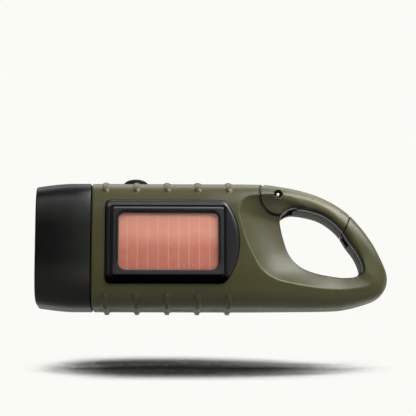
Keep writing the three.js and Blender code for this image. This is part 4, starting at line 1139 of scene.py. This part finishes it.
piece(hole_stored(shell(-1)), "front_half_moulding", "body", "body_shell", OLIVE, "front_shell")
piece(hole_stored(shell(1)), "back_half_moulding", "body", "body_shell", OLIVE, "back_shell")
piece(hole_stored(gate()), "gate_moulding", "gate_swing", "body_shell", OLIVE, "gate")
bpy.data.objects.remove(body_form)
piece(gate_strip(), "gate_inner_strip", "gate_swing", "loop_liner", LINER, "gate_liner")
piece(nose_strip(), "nose_inner_strip", "body", "loop_liner", LINER, "nose_liner")
piece(hinge_pin(), "hinge_pin", "body", "steel_parts", PIN_STEEL, "gate_pin")
piece(bezel(), "panel_bezel", "body", "black_parts", PANEL, "solar_bezel")
piece(window(), "panel_window", "body", "clear_parts", WINDOW, "solar_window")
piece(button(), "push_button", "button", "rubber_parts", BUTTON, "button_cap")
piece(head(), "lamp_housing", "body", "black_parts", BLACK, "head_housing")
piece(lens(), "lamp_lens", "body", "clear_parts", LENS, "lens")
piece(lens_seal(), "lamp_lens_seal", "body", "rubber_parts", RUBBER, "lens_seal")
piece(reflector(), "lamp_reflector", "body", "reflector", CHROME, "reflector")
for number, height in enumerate(LED_HEIGHTS, 1):
    piece(led(height), f"lamp_diode_{number}", "body", "clear_parts", LED_RESIN, f"led_{number}")
for number, screw in enumerate(SCREWS, 1):
    piece(shell_screw(*screw), f"case_screw_{number}", "body", "steel_parts", STEEL,
          f"shell_screw_{number}")
piece(crank_arm(), "crank_lever", "crank", "black_parts", BLACK, "crank_arm")
piece(crank_screw(), "crank_lever_screw", "crank", "steel_parts", STEEL, "crank_screw")
piece(knob_grip(), "crank_handle", "grip", "black_parts", BLACK, "knob_grip")
piece(crank_bush(), "crank_bearing", "body", "brass_parts", BRASS, "crank_bush")

# The works inside keep their shapes and take real finishes
WORKS = {
    BLACK: ["battery_holder", "tact_switch", "capacitor", "charge_chip"],
    RUBBER: ["head_seal"],
    CELL: ["solar_cell"],
    BOARD: ["led_board", "switch_board", "main_board"],
    STEEL: ["gate_spring", "axle_1", "axle_2", "stator_can", "crank_shaft", "knob_pin", "knob_post",
            "plate_screw_1", "plate_screw_2", "plate_screw_3", "board_screw_1", "board_screw_2"],
    BRASS: ["rotor_pinion"],
    CAN: ["battery_1", "battery_2", "battery_3"],
    ACETAL: ["drive_gear", "compound_gear_1", "compound_gear_2", "gear_plate"],
    WINDING: ["stator_coil"],
    MAGNET: ["rotor_magnet"],
}
for material, names in WORKS.items():
    for name in names:
        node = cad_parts[name]
        node.data.materials.clear()
        node.data.materials.append(material)

# Stage, in metres
PAPER, BLANK = (0.955, 0.965, 0.92), (0, 0, 0)
AIM = (0, 0, 0.02)


def floor():
    """A pale sheet that rises towards the flashlight and runs level behind it."""
    rise = math.tan(math.radians(12.8))
    half_width, near, far = 1.5, -1.2, 1.4
    turn, run, drop = 0.04, 0.1, 0.022
    profile = [(near, near * rise - drop), (turn, turn * rise - drop)]
    for k in range(1, 13):
        t = k / 12
        profile.append((turn + run * t, turn * rise - drop + rise * run * (t - t * t / 2)))
    profile.append((far, profile[-1][1]))
    points = [(x, y, z) for y, z in profile for x in (-half_width, half_width)]
    faces = [(2 * i, 2 * i + 1, 2 * i + 3, 2 * i + 2) for i in range(len(profile) - 1)]
    sheet = from_points(points, [], faces)
    sheet.name = "floor"
    for face in sheet.data.polygons:
        face.use_smooth = True
    sheet.data.materials.append(floor_paper())


def floor_paper():
    """Shows the camera a pale glow with the flashlight's shadow, and a darker sheet to the rest."""
    front_grey, back_grey = (0.36, 0.36, 0.34), (0.42, 0.42, 0.4)
    f = Finish("pale_floor", Roughness=0.9, Specular_IOR_Level=0.0, Emission_Strength=1.0)
    x, y = f.along("x"), f.along("y")
    open_sky = f.node("AmbientOcclusion", {"samples": 16}, {"Distance": 0.05}, "AO")
    darker_right = f.grade(x, -0.02, 0.07) * 0.03
    lighter_left = (1 - f.grade(x, -0.07, -0.034)) * 0.022
    shade = f.grade(open_sky - darker_right + lighter_left, 0.663, 0.73) * 0.98 + 0.02
    seen = f.node("LightPath", {}, {}, "Is Camera Ray")
    unseen = f.mix(f.grade(y, -0.03, 0.03), front_grey, back_grey)
    f.feed("Base Color", f.mix(seen, unseen, BLANK))
    f.feed("Emission Color", f.mix(seen * shade, BLANK, PAPER))
    return f.material


def softbox(name, place, target, size, power):
    light = bpy.data.lights.new(name, "AREA")
    light.shape = "RECTANGLE"
    light.size, light.size_y = size
    light.energy = power
    lamp = bpy.data.objects.new(name, light)
    lamp.location = place
    lamp.rotation_euler = (Vector(target) - Vector(place)).to_track_quat("-Z", "Y").to_euler()
    bpy.context.scene.collection.objects.link(lamp)


def studio():
    """Pale all round, but for the dim room in front of the flashlight, with broad lights above."""
    world = bpy.data.worlds.new("studio")
    bpy.context.scene.world = world
    world.use_nodes = True
    sky = Nodes(world.node_tree)
    back = sky.node("SeparateXYZ", {}, [sky.node("TexCoord", {}, {}, "Generated")], 1)
    level = sky.node("MapRange", {}, {"Value": back, "From Min": -0.25, "From Max": 0.6,
                                      "To Min": 0.075, "To Max": 0.65}, "Result")
    room = sky.node("Background", {}, {"Color": (1, 1, 1, 1), "Strength": level})
    backdrop = sky.node("Background", {}, {"Color": (*PAPER, 1), "Strength": 1})
    rays = [sky.node("LightPath", {}, {}, kind) for kind in ("Is Camera Ray", "Is Transmission Ray")]
    sky.show("World Output", sky.node("MixShader", {}, [rays[0] + rays[1], room, backdrop]))
    softbox("front_softbox", (-0.05, -0.7, 0.6), AIM, (1.1, 0.16), 3.3)
    softbox("right_softbox", (0.5, -0.35, 0.65), (0.03, 0, 0.02), (0.7, 0.5), 14.5)
    softbox("top_softbox", (-0.05, 0.3, 0.78), AIM, (0.9, 0.5), 4.2)
    bpy.context.scene.view_settings.view_transform = "Standard"


def camera():
    """A long lens in front of the flashlight, which looks up at it and slightly to the right."""
    optics = bpy.data.cameras.new("camera")
    optics.lens = 148.57
    optics.sensor_width = 36
    optics.clip_start = 0.01
    obj = bpy.data.objects.new("camera", optics)
    obj.location = (-0.0138, -0.6615, -0.0795)
    up, right = math.radians(10.363), math.radians(1.056)
    way = Vector((math.sin(right) * math.cos(up), math.cos(right) * math.cos(up), math.sin(up)))
    obj.rotation_euler = way.to_track_quat("-Z", "Y").to_euler()
    bpy.context.scene.collection.objects.link(obj)
    bpy.context.scene.camera = obj


floor()
studio()
camera()
